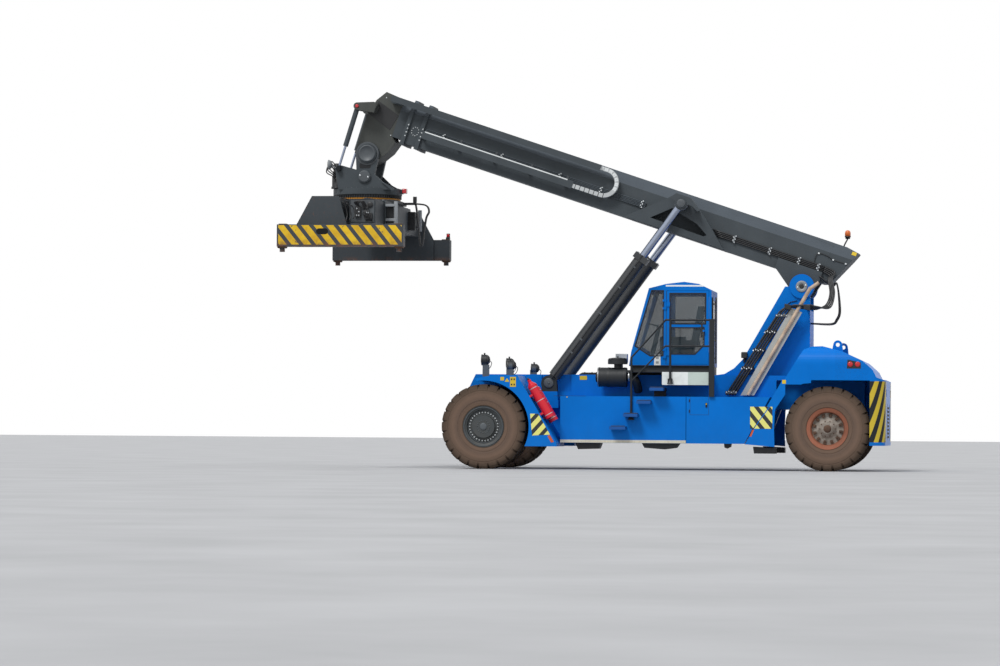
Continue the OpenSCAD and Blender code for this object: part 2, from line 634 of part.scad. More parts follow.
chain_half = 40;
loop_u = 4300;
chain_low_w = trough_w + 20 + seat_gap + chain_half;
chain_high_w = tray_w - seat_gap - chain_half;
module energy_chain() color(dark) along_boom() translate([0, trough_y0 + 10, 0]) {
    r = (chain_high_w - chain_low_w) / 2;
    side_plate(0, 100) difference() {
        union() {
            translate([loop_u, (chain_high_w + chain_low_w) / 2]) circle(r = r + chain_half);
            translate([loop_u, chain_low_w - chain_half]) square([700, 2 * chain_half]);
            translate([loop_u, chain_high_w - chain_half]) square([3600, 2 * chain_half]);
        }
        translate([loop_u, (chain_high_w + chain_low_w) / 2]) circle(r = r - chain_half);
        translate([loop_u, chain_low_w + chain_half]) square([800, 2 * r - 2 * chain_half]);
    }
}

// Lifting cylinders, from the chassis lug to the boom bracket
lift_base_x = -1127;
lift_base_z = 1663;
lift_pin_r = 70;
lug_gap = 55;
lift_angle = atan2(boom_pin_z() - lift_base_z, boom_pin_x() - lift_base_x);
lift_length = norm([boom_pin_z() - lift_base_z, boom_pin_x() - lift_base_x]);
function boom_pin_x() = pivot_x + rod_pin_u * cos(boom_slope) - rod_pin_w * sin(boom_slope);
function boom_pin_z() = pivot_z + rod_pin_u * sin(boom_slope) + rod_pin_w * cos(boom_slope);
gland_at = 3060;
barrel_at = 165;
bore_low = 180;
bore_high = 3040;
piston_low = 1036;
module along_lift() placed() both_sides() translate([lift_base_x, lift_y, lift_base_z])
    rotate([0, 90 - lift_angle, 0]) children();
module lift_barrels() color(boom_grey) along_lift() {
    difference() {
        union() {
            translate([0, 0, barrel_at]) cylinder(r = barrel_r, h = gland_at - barrel_at);
            rotate([90, 0, 0]) cylinder(r = 140, h = 2 * (lug_gap - run_gap), center = true);
            translate([-90, -lug_gap + run_gap, 0]) cube([180, 2 * (lug_gap - run_gap), 200]);
            translate([-150, -135, gland_at - 120]) cube([300, 270, 120]);
        }
        translate([0, 0, bore_low]) cylinder(r = barrel_r - 20, h = bore_high - bore_low);
        translate([0, 0, bore_low]) cylinder(r = rod_r + pin_gap, h = gland_at);
    }
    rotate([90, 0, 0]) cylinder(r = lift_pin_r - pin_gap, h = 2 * lug_gap + 50, center = true);
}
module lift_rods() color("#cfd2d4") along_lift() {
    translate([0, 0, piston_low]) cylinder(r = rod_r, h = lift_length - piston_low);
    translate([0, 0, piston_low]) cylinder(r = barrel_r - 20 - pin_gap, h = 24);
    translate([0, 0, lift_length]) rotate([90, 0, 0]) cylinder(r = 130, h = 140, center = true);
}

// Link that hangs from the head, and the yoke under it
link_in = 365;
link_out = 485;
yoke_in = 495;
yoke_out = 555;
module hanger_link() color(boom_grey) placed() {
    both_sides() {
        side_plate(link_in, link_out) hull() {
            translate([hang_x, hang_z]) circle(r = 230);
            translate([low_pin_x, low_pin_z]) circle(r = 170);
        }
        bar_y(hang_x, hang_z, 185, link_out, link_out + 50);
    }
    bar_y(hang_x, hang_z, hang_pin_r, -link_out, link_out);
    bar_y(low_pin_x, low_pin_z, 75, -yoke_out - 30, yoke_out + 30);
    both_sides() bar_y(low_pin_x, low_pin_z, 125, yoke_out + seat_gap, yoke_out + 40);
}
ring_r = 680;
module yoke() color(boom_grey) placed() difference() {
    union() {
        both_sides() side_plate(yoke_in, yoke_out) polygon([[3130, 5450], [3200, 5860], [3130, 5940],
            [3040, 5920], [2795, 5850], [2455, 5800], [2245, 5600], [2020, 5480], [2020, 5450]]);
        translate([slew_x, 0, 5360]) cylinder(r = ring_r, h = 120);
    }
    both_sides() bar_y(low_pin_x, low_pin_z, 75 + pin_gap, yoke_in - 10, yoke_out + 10);
}

// Damping cylinders between the head and the yoke
damper_y = 612;
damper_eye_half = 46;
damper_lug_y = damper_y + damper_eye_half + run_gap;
damper_top = [2745, 0, 7085];
damper_low = [3120, 0, 5860];
damper_r = 50;
module along_damper() placed() both_sides() translate([damper_top.x, damper_y, damper_top.z])
    rotate([0, 180 - atan2(damper_low.x - damper_top.x, damper_top.z - damper_low.z), 0]) children();
damper_length = norm(damper_low - damper_top);
module damper_barrels() color(boom_grey) along_damper() {
    difference() {
        union() {
            translate([0, 0, 50]) cylinder(r = damper_r, h = 770);
            rotate([90, 0, 0]) cylinder(r = 60, h = 2 * damper_eye_half, center = true);
            rotate([90, 0, 0]) cylinder(r = 28, h = 2 * (damper_eye_half + run_gap + 40), center = true);
        }
        translate([0, 0, 150]) cylinder(r = 26, h = 900);
    }
}
module damper_rods() color("#cfd2d4") along_damper() {
    translate([0, 0, 330]) cylinder(r = 25, h = damper_length - 330);
    translate([0, 0, damper_length]) rotate([90, 0, 0])
        cylinder(r = 50, h = 2 * damper_eye_half, center = true);
    translate([0, 0, damper_length]) rotate([90, 0, 0])
        cylinder(r = 28, h = damper_y - yoke_out - run_gap);
}

// Spreader: a frame that turns and shifts sideways, and two telescopic end beams
frame_z0 = 4650;
frame_z1 = 5180;
beam_offset = 330;
guide_half = 285;
guide_wall = 20;
tele_half = guide_half - guide_wall - 10;
tele_z0 = frame_z0 + guide_wall + 10;
tele_z1 = frame_z1 - guide_wall - 10;
frame_length_half = 1500;
module spreader_frame() color(boom_grey) placed() translate([slew_x, 0, 0]) {
    for (s = [1, -1]) difference() {
        box(s * beam_offset - guide_half, s * beam_offset + guide_half, -frame_length_half,
            frame_length_half, frame_z0, frame_z1);
        box(s * beam_offset - guide_half + guide_wall, s * beam_offset + guide_half - guide_wall,
            -frame_length_half - 10, frame_length_half + 10, frame_z0 + guide_wall, frame_z1 - guide_wall);
    }
    box(-45, 45, -frame_length_half, frame_length_half, frame_z0, frame_z1);
    // Wear pads under the telescopic beams
    for (s = [1, -1], y = [-frame_length_half, frame_length_half - 200])
        box(s * beam_offset - 200, s * beam_offset + 200, y, y + 200, frame_z0 + guide_wall - 1,
            tele_z0 - seat_gap);
}
module spreader_gear() color(dark) placed() translate([slew_x, 0, 0]) {
    translate([0, 0, 5240]) cylinder(r = ring_r - 30, h = 120 - seat_gap);
    box(-700, 700, -500, 500, frame_z1 + seat_gap, 5240);
}
lock_x = 2259 / 2;
lock_y = 5853 / 2;
beam_low = lock_tip_z + 100;
beam_top = 4630;
module end_beam(s) placed() translate([slew_x, 0, 0]) {
    // Telescopic box beam
    difference() {
        box(s * beam_offset - tele_half, s * beam_offset + tele_half, -2450, 2760, tele_z0, tele_z1);
        box(s * beam_offset - tele_half + 25, s * beam_offset + tele_half - 25, -2460, 2700,
            tele_z0 + 25, tele_z1 - 25);
    }
    // End beam with the twistlocks
    box(-spreader_width / 2, spreader_width / 2, 2790, spreader_length / 2, beam_low, beam_top);
    side_plate(2760, 2790) polygon([[s * 590, 5185], [s * 70, 5185], [s * -90, beam_top],
        [s * -90, beam_low], [s * 890, beam_low], [s * 890, beam_top]]);
    for (x = [lock_x, -lock_x]) translate([x, lock_y, lock_tip_z]) {
        cylinder(r = 50, h = 120);
    }
}
module end_beam_left() color(boom_grey) end_beam(1);
module end_beam_right() color(boom_grey) rotate([0, 0, 180]) translate([-2 * axle_x - 2 * slew_x, 0, 0])
    end_beam(1);

main_frame();
boom_tower();
front_axle();
steer_axle();
side_boxes();
front_fenders();
rear_skirts();
counterweight();
engine_block();
cab_shell();
cab_glass();
cab_interior();
cab_base();
steps_and_rails();
air_cleaner();
fire_extinguishers();
exhaust();
front_lamps();
rear_lamps();
tower_hoses();
cab_door();
door_glass();
tyres_front_left();
rims_front_left();
tyres_front_right();
rims_front_right();
knuckle_left();
knuckle_right();
tyre_steer_left();
rim_steer_left();
tyre_steer_right();
rim_steer_right();
outer_boom();
chain_trough();
inner_boom();
boom_head();
chain_tray();
energy_chain();
lift_barrels();
lift_rods();
hanger_link();
yoke();
damper_barrels();
damper_rods();
spreader_frame();
spreader_gear();
end_beam_left();
end_beam_right();
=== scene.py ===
import itertools
import json
import math

import bmesh
import bpy
from mathutils import Matrix, Vector


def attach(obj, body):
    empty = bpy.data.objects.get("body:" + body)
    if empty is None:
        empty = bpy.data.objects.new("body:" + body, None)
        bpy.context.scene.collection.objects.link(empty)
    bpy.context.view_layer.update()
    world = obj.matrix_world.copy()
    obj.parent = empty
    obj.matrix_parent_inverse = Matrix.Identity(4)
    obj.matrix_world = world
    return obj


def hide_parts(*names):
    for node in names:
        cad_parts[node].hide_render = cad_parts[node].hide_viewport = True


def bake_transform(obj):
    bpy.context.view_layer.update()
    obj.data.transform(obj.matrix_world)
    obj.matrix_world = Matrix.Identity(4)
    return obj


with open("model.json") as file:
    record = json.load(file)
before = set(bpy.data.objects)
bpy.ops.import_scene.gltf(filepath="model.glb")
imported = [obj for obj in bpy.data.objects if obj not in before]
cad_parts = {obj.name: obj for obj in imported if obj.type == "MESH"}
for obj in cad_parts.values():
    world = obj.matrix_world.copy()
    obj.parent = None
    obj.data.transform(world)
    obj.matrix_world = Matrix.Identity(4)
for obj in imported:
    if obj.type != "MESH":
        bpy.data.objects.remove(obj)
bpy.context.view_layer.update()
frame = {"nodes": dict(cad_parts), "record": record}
nodes = frame["nodes"]
scene = bpy.context.scene

# Camera: found from the photograph, in metres from the part's origin
AXLE_X = 1.888
CAM_POS = Vector((-10.2216 + AXLE_X, 72.9939, 0.7460))
CAM_YAW, CAM_PITCH, CAM_ROLL = 7.954, 1.483, 0.399
CAM_FOCAL_PX = 3746.0
IMAGE_W = 1000
SENSOR_MM = 36.0

# Places of pieces: millimetres from the front axle's centre line, as in part.scad
SEAT = 0.3
WHEEL_Z, STEER_X = 810, -6540
FENDER_Y, BOX_Y, CAB_Y = 2085, 1650, 700
PIVOT_X, PIVOT_Z = -5986, 3554
SLOPE = math.radians(18.5)
LIFT_X, LIFT_Z = -1127, 1663
LIFT_ANGLE = math.atan2(5137.8 - LIFT_Z, -3679.3 - LIFT_X)
HANGER_X, HANGER_Z = 2570, 6165
YOKE_X, YOKE_Z = 2610, 5710
RING_X = 2640
LEFT, RIGHT, UP, FORE = Vector((0, 1, 0)), Vector((0, -1, 0)), Vector((0, 0, 1)), Vector((1, 0, 0))
SIDES = ((1, "left", LEFT), (-1, "right", RIGHT))


def add_object(name, data):
    ob = bpy.data.objects.new(name, data)
    scene.collection.objects.link(ob)
    return ob


def make_camera():
    yaw, pitch, roll = (math.radians(a) for a in (CAM_YAW, CAM_PITCH, CAM_ROLL))
    cam = bpy.data.cameras.new("camera")
    cam.sensor_width = SENSOR_MM
    cam.lens = CAM_FOCAL_PX / IMAGE_W * SENSOR_MM
    cam.clip_end = 500
    ob = add_object("camera", cam)
    ob.matrix_world = (Matrix.Translation(CAM_POS) @ Matrix.Rotation(math.pi + yaw, 4, "Z")
                       @ Matrix.Rotation(math.pi / 2 + pitch, 4, "X") @ Matrix.Rotation(roll, 4, "Z"))
    scene.camera = ob


make_camera()
scene.view_settings.view_transform = "Standard"


def W(x, y, z):
    return Vector((x / 1000 + AXLE_X, y / 1000, z / 1000))


def along(x, z, angle):
    """Places in a frame turned by angle about (x, z): u along it, y across the machine, w square to both."""
    c, s = math.cos(angle), math.sin(angle)
    return lambda u, y, w: W(x + u * c - w * s, y, z + u * s + w * c)


B = along(PIVOT_X, PIVOT_Z, SLOPE)


def mirrored(side, at=W):
    return lambda x, y, z: at(x, side * y, z)


def as_is(*place):
    return Vector(place)


def around(count, radius, start=0.0):
    """Offsets on a circle, from an angle of start in radians."""
    angles = [math.tau * i / count + start for i in range(count)]
    return [(radius * math.cos(a), radius * math.sin(a)) for a in angles]


def rgb(text):
    v = [int(text[i:i + 2], 16) / 255 for i in (1, 3, 5)]
    return tuple(c / 12.92 if c <= 0.04045 else ((c + 0.055) / 1.055) ** 2.4 for c in v) + (1.0,)


def tint(colour):
    return rgb(colour) if isinstance(colour, str) else colour


# Material nodes
MIX_FACTOR, MIX_A, MIX_B, MIX_COLOUR = 0, 6, 7, 2


def feed(nt, socket, value):
    if isinstance(value, Field):
        nt.links.new(value.socket, socket)
    else:
        socket.default_value = value


def feed_all(nt, node, inputs):
    for key, value in inputs.items():
        feed(nt, node.inputs[key.replace("_", " ")], value)


def operator(operation):
    return lambda field, *others: field.math(operation, *others)


class Field:
    """A number or colour that varies over a surface, with plain arithmetic on numbers."""

    def __init__(self, nt, socket):
        self.nt, self.socket = nt, socket

    def math(self, operation, *others):
        node = self.nt.nodes.new("ShaderNodeMath")
        node.operation = operation
        for socket, value in zip(node.inputs, (self, *others)):
            feed(self.nt, socket, value)
        return Field(self.nt, node.outputs[0])

    def __rsub__(self, number):
        return self.math("MULTIPLY_ADD", -1.0, number)

    __add__, __sub__, __mul__ = operator("ADD"), operator("SUBTRACT"), operator("MULTIPLY")
    __truediv__, __abs__ = operator("DIVIDE"), operator("ABSOLUTE")
    __lt__, __gt__ = operator("LESS_THAN"), operator("GREATER_THAN")


class Surface:
    """The nodes of one material; x, y, z are metres from the front axle, or along and square to the boom."""

    def __init__(self, name, boom=False):
        self.mat = bpy.data.materials.new(name)
        self.mat.use_nodes = True
        self.nt = self.mat.node_tree
        self.place = self.node("TexCoord", "Object")
        turn, shift = (0, 0, 0), (-AXLE_X, 0, 0)
        if boom:
            px, pz = PIVOT_X / 1000 + AXLE_X, PIVOT_Z / 1000
            c, s = math.cos(SLOPE), math.sin(SLOPE)
            turn, shift = (0, SLOPE, 0), (-(px * c + pz * s), 0, px * s - pz * c)
        self.x, self.y, self.z = self.split(
            self.node("Mapping", "Vector", Rotation=turn, Location=shift, Vector=self.place))

    def node(self, kind, out, **inputs):
        node = self.nt.nodes.new("ShaderNode" + kind)
        feed_all(self.nt, node, inputs)
        return Field(self.nt, node.outputs[out])

    def set(self, **inputs):
        feed_all(self.nt, self.nt.nodes["Principled BSDF"], inputs)

    def split(self, vector):
        node = self.nt.nodes.new("ShaderNodeSeparateXYZ")
        feed(self.nt, node.inputs[0], vector)
        return [Field(self.nt, out) for out in node.outputs]

    def noise(self, scale, detail=4.0, rough=0.55, stretch=(1, 1, 1)):
        place = self.node("Mapping", "Vector", Scale=stretch, Vector=self.place)
        return self.node("TexNoise", "Fac", Scale=scale, Detail=detail, Roughness=rough, Vector=place)

    def ramp(self, value, *stops):
        node = self.nt.nodes.new("ShaderNodeValToRGB")
        ends = node.color_ramp.elements
        for end, (place, colour) in zip(ends, (stops[0], stops[-1])):
            end.position, end.color = place, tint(colour)
        for place, colour in stops[1:-1]:
            ends.new(place).color = tint(colour)
        feed(self.nt, node.inputs["Fac"], value)
        return Field(self.nt, node.outputs["Color"])

    def mix(self, fac, a, b):
        node = self.nt.nodes.new("ShaderNodeMix")
        node.data_type = "RGBA"
        for place, value in ((MIX_FACTOR, fac), (MIX_A, tint(a)), (MIX_B, tint(b))):
            feed(self.nt, node.inputs[place], value)
        return Field(self.nt, node.outputs[MIX_COLOUR])

    def fade(self, value, low, high):
        return self.node("MapRange", "Result", From_Min=low, From_Max=high, Value=value)

    def inside(self, *box):
        """1 inside (low, high) pairs along x, y and z, with None for an open pair."""
        hits = [place.math("COMPARE", sum(pair) / 2, (pair[1] - pair[0]) / 2)
                for place, pair in zip((self.x, self.y, self.z), box) if pair]
        fac = hits[0]
        for hit in hits[1:]:
            fac = fac * hit
        return fac

    def chips(self, scale, low, high):
        """Worn flecks, 1 where the paint is gone."""
        return self.fade(self.noise(scale, 6, 0.75), low, high)

    def radius(self, x):
        """The distance from a wheel's axis at x."""
        dx, dz = self.x - x, self.z - WHEEL_Z / 1000
        return (dx * dx + dz * dz).math("SQRT")


def stripes(x, z, slant, pitch, duty, shift):
    """1 on slanted stripes that repeat along x."""
    return ((z.math("MULTIPLY_ADD", -slant, shift) + x) / pitch).math("FRACT") < duty


def paint(name, base, rough=0.42, metal=0.0, dirt="#6b5f52", dust=0.0, dust_top=1.6, mottle=0.08, streak=0.0,
          coat=0.0, bump=0.02, spec=0.5, rust=0.0, boom=False, dress=None, top=None):
    s = Surface(name, boom)
    low = tuple(v * (1 - mottle * 1.8) for v in rgb(base)[:3]) + (1,)
    high = tuple(min(1, v * (1 + mottle)) for v in rgb(base)[:3]) + (1,)
    col = s.ramp(s.noise(1.7, 5, 0.6), (0.3, low), (0.7, high))
    if top:
        # Painted highlight: faces that look up are mixed towards a paler colour, for the light of the open
        # sky
        facing_up = s.split(s.node("NewGeometry", "Normal"))[2]
        col = s.mix(s.fade(facing_up, 0.25, 0.85) * top[1], col, top[0])
    if streak:
        col = s.mix(s.fade(s.noise(5.0, 3, 0.6, (6, 6, 0.7)), 0.5, 0.8) * streak, col, dirt)
    if dust:
        low_down = s.fade(s.z, dust_top, 0.2) * dust
        col = s.mix(low_down * s.fade(s.noise(9.0, 6, 0.7), 0.2, 0.75), col, dirt)
    if rust:
        col = s.mix(s.chips(26.0, 0.6, 0.68) * rust, col, "#7d4a2e")
    if dress:
        col = dress(s, col)
    uneven = s.node("MapRange", "Result", To_Min=max(0.02, rough - 0.08), To_Max=min(1, rough + 0.14),
                    Value=s.noise(14.0, 5, 0.6))
    s.set(Base_Color=col, Roughness=uneven, Metallic=metal, Coat_Weight=coat, Specular_IOR_Level=spec)
    if bump:
        grain = s.noise(60.0, 3, 0.5)
        s.set(Normal=s.node("Bump", "Normal", Strength=bump * 4, Distance=0.002, Height=grain))
    return s.mat


def glass(name):
    s = Surface(name)
    s.set(Base_Color=s.ramp(s.noise(1.3, 3), (0.3, "#2c363c"), (0.7, "#46555d")), Roughness=0.04, Alpha=0.48)
    return s.mat


def zone(colour, *box):
    """Dresses what lies inside a box in one colour."""
    return lambda s, col: s.mix(s.inside(*box), col, colour)


def rusty_foot(s, col, top, low, worn, bare):
    """Rust that thickens from a height of top down to low."""
    rust = s.fade(s.z, top, low) * s.fade(s.noise(7.0, 6, 0.7), worn, bare)
    return s.mix(rust, col, "#6e4a37")


def dress_beam(s, col):
    """Yellow stripes on the outer face of the end beam, a near-black disc of painted shade for its hand hole,
    and rust at its foot.
    """
    face = s.inside((1.45, 3.83), (3.0, 3.2), (4.245, 4.615))
    hit = stripes(s.x, s.z, 0.80, 0.2390, 0.60, -0.03) * (1.0 - s.chips(11.0, 0.63, 0.66)) * face
    col = s.mix(hit, col, s.ramp(s.noise(4.0, 5, 0.7), (0.35, "#c99d26"), (0.6, "#e0b92c")))
    # Painted shade: the hand hole is drawn as a near-black disc
    dx = (abs(s.x - 2.982) - 0.059).math("MAXIMUM", 0.0)
    dz = s.z - 4.497
    col = s.mix((dx * dx + dz * dz < 0.057 ** 2) * face, col, "#0c0d0e")
    return rusty_foot(s, col, 4.36, 4.2, 0.42, 0.62)


def dress_weight(s, col):
    """Yellow and black stripes round the rear corners."""
    hit = stripes(s.x - (1.65 - abs(s.y)), s.z, -0.42, 0.235, 0.5, 0.02)
    zone = s.inside((-7.7, -7.34), (-1.7, 1.7), (0.56, 1.72)) * (abs(s.y) > 1.12)
    col = s.mix(zone, col, s.mix(hit, "#2a2d30", "#c9b03c"))
    specks = s.inside((-7.3, -6.68), (1.2, 1.7), (1.75, 2.35)) * s.chips(90.0, 0.56, 0.6)
    return s.mix(specks * 0.45, col, "#1c3350")


def dress_base(s, col):
    """The white battery box beside the dark cab base."""
    box = s.inside((-4.276, -3.385), (0.852, 1.66), (1.625, 1.876))
    pale = s.mix(s.inside((-3.882, -3.0)), "#bfcbc4", "#e4e8e6")
    return s.mix(box, col, s.mix(s.fade(s.noise(6.0, 4), 0.5, 0.8) * 0.3, pale, "#8f938c"))


def dress_steps(s, col):
    """Blue treads on dark rails."""
    tread = s.inside((-3.44, -2.40), None, (0.765, 1.58)) * (s.y > 1.652)
    rails = s.inside((-2.845, -2.755), (1.63, 1.72), (1.0, 2.2))
    return s.mix(tread * (1.0 - rails), "#1c2024", "#0a4f96")


def dress_chain(s, col):
    """Painted shade in the gaps between the links of the lower run."""
    gap = (s.x / 0.096).math("FRACT") < 0.16
    return s.mix(gap * s.inside((4.2, 5.1), None, (0.38, 0.52)), col, "#3b3e40")


def dress_frame(s, col):
    """Darker under the middle of the rear, and dark lugs of the lifting cylinders."""
    col = s.mix(s.inside((-7.3, -5.0), (-0.6, 0.6), (0.3, 0.606)), col, "#202326")
    return s.mix(s.inside((-1.62, -0.9), None, (1.5, 1.85)) * (abs(s.y) > 0.852), col, "#33373a")


def dress_exhaust(s, col):
    """A tan pipe over the bare shield plate."""
    tan = s.ramp(s.noise(6.0, 5, 0.65), (0.35, "#a58c76"), (0.65, "#cdb59c"))
    return s.mix(s.y > 0.9135, col, tan)


def dress_steer_rim(s, col):
    """Grey hub inside a rusty orange rim."""
    hub = s.radius(STEER_X / 1000) + s.noise(12.0, 4) * 0.02 < 0.312
    return s.mix(hub, col, s.ramp(s.noise(9.0, 5, 0.7), (0.35, "#736a61"), (0.65, "#a0978d")))


def dress_tyre(x):
    def dress(s, col):
        """Dusty rings on the wall, darker at the tread and by the rim."""
        ring = s.ramp(s.radius(x) + s.noise(3.0, 3) * 0.03, (0.36, "#453b35"), (0.44, "#6a574a"),
                      (0.52, "#625248"), (0.60, "#6f5b4e"), (0.70, "#5b4c41"), (0.80, "#40372f"))
        return s.mix(s.fade(s.noise(7.0, 6, 0.7), 0.3, 0.8) * 0.25, ring, "#80695a")
    return dress


# Looks of the slots, of single solids and of the added pieces
MATS = {}


def look(slot, base, rough, **more):
    MATS[slot] = dict(more, base=base, rough=rough)


# The paler colours mixed onto faces that look up, below, are painted highlights from the sky
look("body_paint", "#006fc9", 0.4, dust=0.14, dust_top=1.1, mottle=0.05, streak=0.03, spec=0.1,
     top=("#1276dc", 0.35), dirt="#4a5663")
look("boom_paint", "#464c50", 0.5, streak=0.05, spec=0.2, top=("#7c8ba3", 0.12))
look("head_paint", "#4e504d", 0.5, mottle=0.12, streak=0.1, spec=0.2, top=("#74808c", 0.35))
look("dark_metal", "#26292c", 0.5, mottle=0.14, dust=0.2, dust_top=1.1, spec=0.35)
look("chrome_rod", "#9aa3b5", 0.22, metal=1.0, mottle=0.03, bump=0)
look("tyre_rubber", "#63544a", 0.9, bump=0.1, spec=0.12)
look("front_rim_paint", "#3b4144", 0.5, dirt="#6d6152", dust=0.3, dust_top=2.0, mottle=0.12, spec=0.3)
look("steer_rim_paint", "#985f49", 0.7, dirt="#5b4d44", dust=0.2, dust_top=2.0, mottle=0.22, spec=0.2,
     dress=dress_steer_rim)
look("red_paint", "#d31a2e", 0.3, mottle=0.05, coat=0.2, spec=0.35)
look("shield_metal", "#aeafaa", 0.45, streak=0.12)
look("lamp_red", "#8e1414", 0.2, mottle=0.05, coat=0.4, bump=0)
look("hose_rubber", "#17181b", 0.5, mottle=0.1)
look("seat_trim", "#1b1c20", 0.8, mottle=0.12)
look("chain_plastic", "#9da1a2", 0.55, mottle=0.1, streak=0.1)
OWN = {}


def own(node, slot, dress=None, **changes):
    """Gives a solid its own look, on the ground of its slot's."""
    OWN[node] = {**MATS[slot], **changes, "dress": dress}


own("cab_shell", "body_paint", zone("#e8ecee", (-4.194, -3.359), None, (3.548, 3.578)))
own("counterweight", "body_paint", dress_weight, rough=0.3)
own("main_frame", "body_paint", dress_frame)
own("exhaust", "shield_metal", dress_exhaust)
own("cab_base", "dark_metal", dress_base)
own("steps_and_rails", "dark_metal", dress_steps)
own("spreader_gear", "dark_metal", zone("#b87a14", (1.9, 3.3), None, (5.262, 5.29)))
own("front_lamps", "dark_metal", lambda s, col: s.mix(s.fade(s.z, 2.03, 2.0), col, "#50565b"))
own("damper_rods", "chrome_rod", lambda s, col: s.mix(s.z < 5.925, col, "#2a2d30"))
own("air_cleaner", "dark_metal", zone("#dfe3e3", (-2.60, -2.34), (0.1, 0.5), (1.83, 2.3)))
own("end_beam_left", "boom_paint", dress_beam, base="#41464a", rust=0.7, top=None)
own("end_beam_right", "boom_paint", lambda s, col: rusty_foot(s, col, 4.30, 4.15, 0.45, 0.65),
    base="#3a3f43", rust=0.2)
own("energy_chain", "chain_plastic", dress_chain, base="#b9bcbc", boom=True)
own("lift_barrels", "boom_paint", base="#2f3235", rough=0.35, top=None, spec=0.6)
for _, tag, _ in SIDES:
    own("tyres_front_" + tag, "tyre_rubber", dress_tyre(0.0))
    own("tyre_steer_" + tag, "tyre_rubber", dress_tyre(STEER_X / 1000))
shared = {}

for row in frame["record"]["subparts"]:
    name, slot, ob = row["node"], row["material_slot"], nodes[row["node"]]
    if name in OWN:
        mat = paint(name, **OWN[name])
    else:
        if slot not in shared:
            shared[slot] = glass(slot) if slot == "clear_glass" else paint(slot, **MATS[slot])
        mat = shared[slot]
    if not ob.material_slots:
        ob.data.materials.append(mat)
    for own_slot in ob.material_slots:
        own_slot.material = mat

# Colours of the added pieces, each with the slot it belongs to
COLOURS = {}


def colour(name, slot, base, rough, **more):
    COLOURS[name] = slot, paint("added_" + name, base, rough, **more)


colour("bolt", "shield_metal", "#c3c7c9", 0.3, metal=0.6, mottle=0.1)
colour("nut", "chrome_rod", "#b9bdbe", 0.35, metal=0.5, mottle=0.15)
colour("dark", "dark_metal", "#1d1f22", 0.45, mottle=0.15)
colour("hose", "hose_rubber", "#141518", 0.42, mottle=0.15, spec=0.6)
colour("yellow", "shield_metal", "#d9b922", 0.45, streak=0.1)
colour("white", "shield_metal", "#dde0df", 0.45, mottle=0.06, streak=0.1)
colour("cream", "shield_metal", "#cfcab8", 0.55, mottle=0.1, streak=0.25)
colour("orange", "lamp_red", "#c9562a", 0.3)
colour("amber", "lamp_red", "#d0641a", 0.25, coat=0.3)
colour("lens", "clear_glass", "#b9b6a4", 0.12, mottle=0.06, coat=0.4, bump=0)
colour("red", "lamp_red", "#c01c24", 0.2, mottle=0.05, coat=0.3, bump=0)
colour("rubber", "hose_rubber", "#15171a", 0.7, mottle=0.12)
colour("rusty", "dark_metal", "#5b4232", 0.75, mottle=0.3, rust=0.6)
colour("grey", "dark_metal", "#4c5155", 0.45, mottle=0.12)
colour("pale_grey", "shield_metal", "#8d9194", 0.4, mottle=0.12)
colour("blue", "body_paint", **{**MATS["body_paint"], "top": None})


def striped(name, slant, duty_shift):
    """Pale and black warning stripes of one pitch."""
    def dress(s, col):
        hit = stripes(s.x, s.z, slant, 0.215, 0.55, duty_shift)
        return s.mix(s.chips(14.0, 0.66, 0.7) * 0.5, s.mix(hit, "#24272a", "#e4e07a"), "#5a5d55")
    return "shield_metal", paint(name, "#e4e07a", 0.4, mottle=0.04, dress=dress)


def colour_of(node, slot):
    return slot, nodes[node].material_slots[0].material


def rect(x0, x1, z0, z1):
    return [(x0, z0), (x1, z0), (x1, z1), (x0, z1)]


def spline(points, steps):
    if len(points) < 3 or steps < 2:
        return points
    ext = [points[0] * 2 - points[1]] + points + [points[-1] * 2 - points[-2]]
    out = []
    for i in range(1, len(ext) - 2):
        a, b, c, d = ext[i - 1:i + 3]
        for t in (k / steps for k in range(steps)):
            out.append(0.5 * ((2 * b) + (c - a) * t + (2 * a - 5 * b + 4 * c - d) * t * t
                              + (3 * b - a - 3 * c + d) * t ** 3))
    return out + [points[-1]]


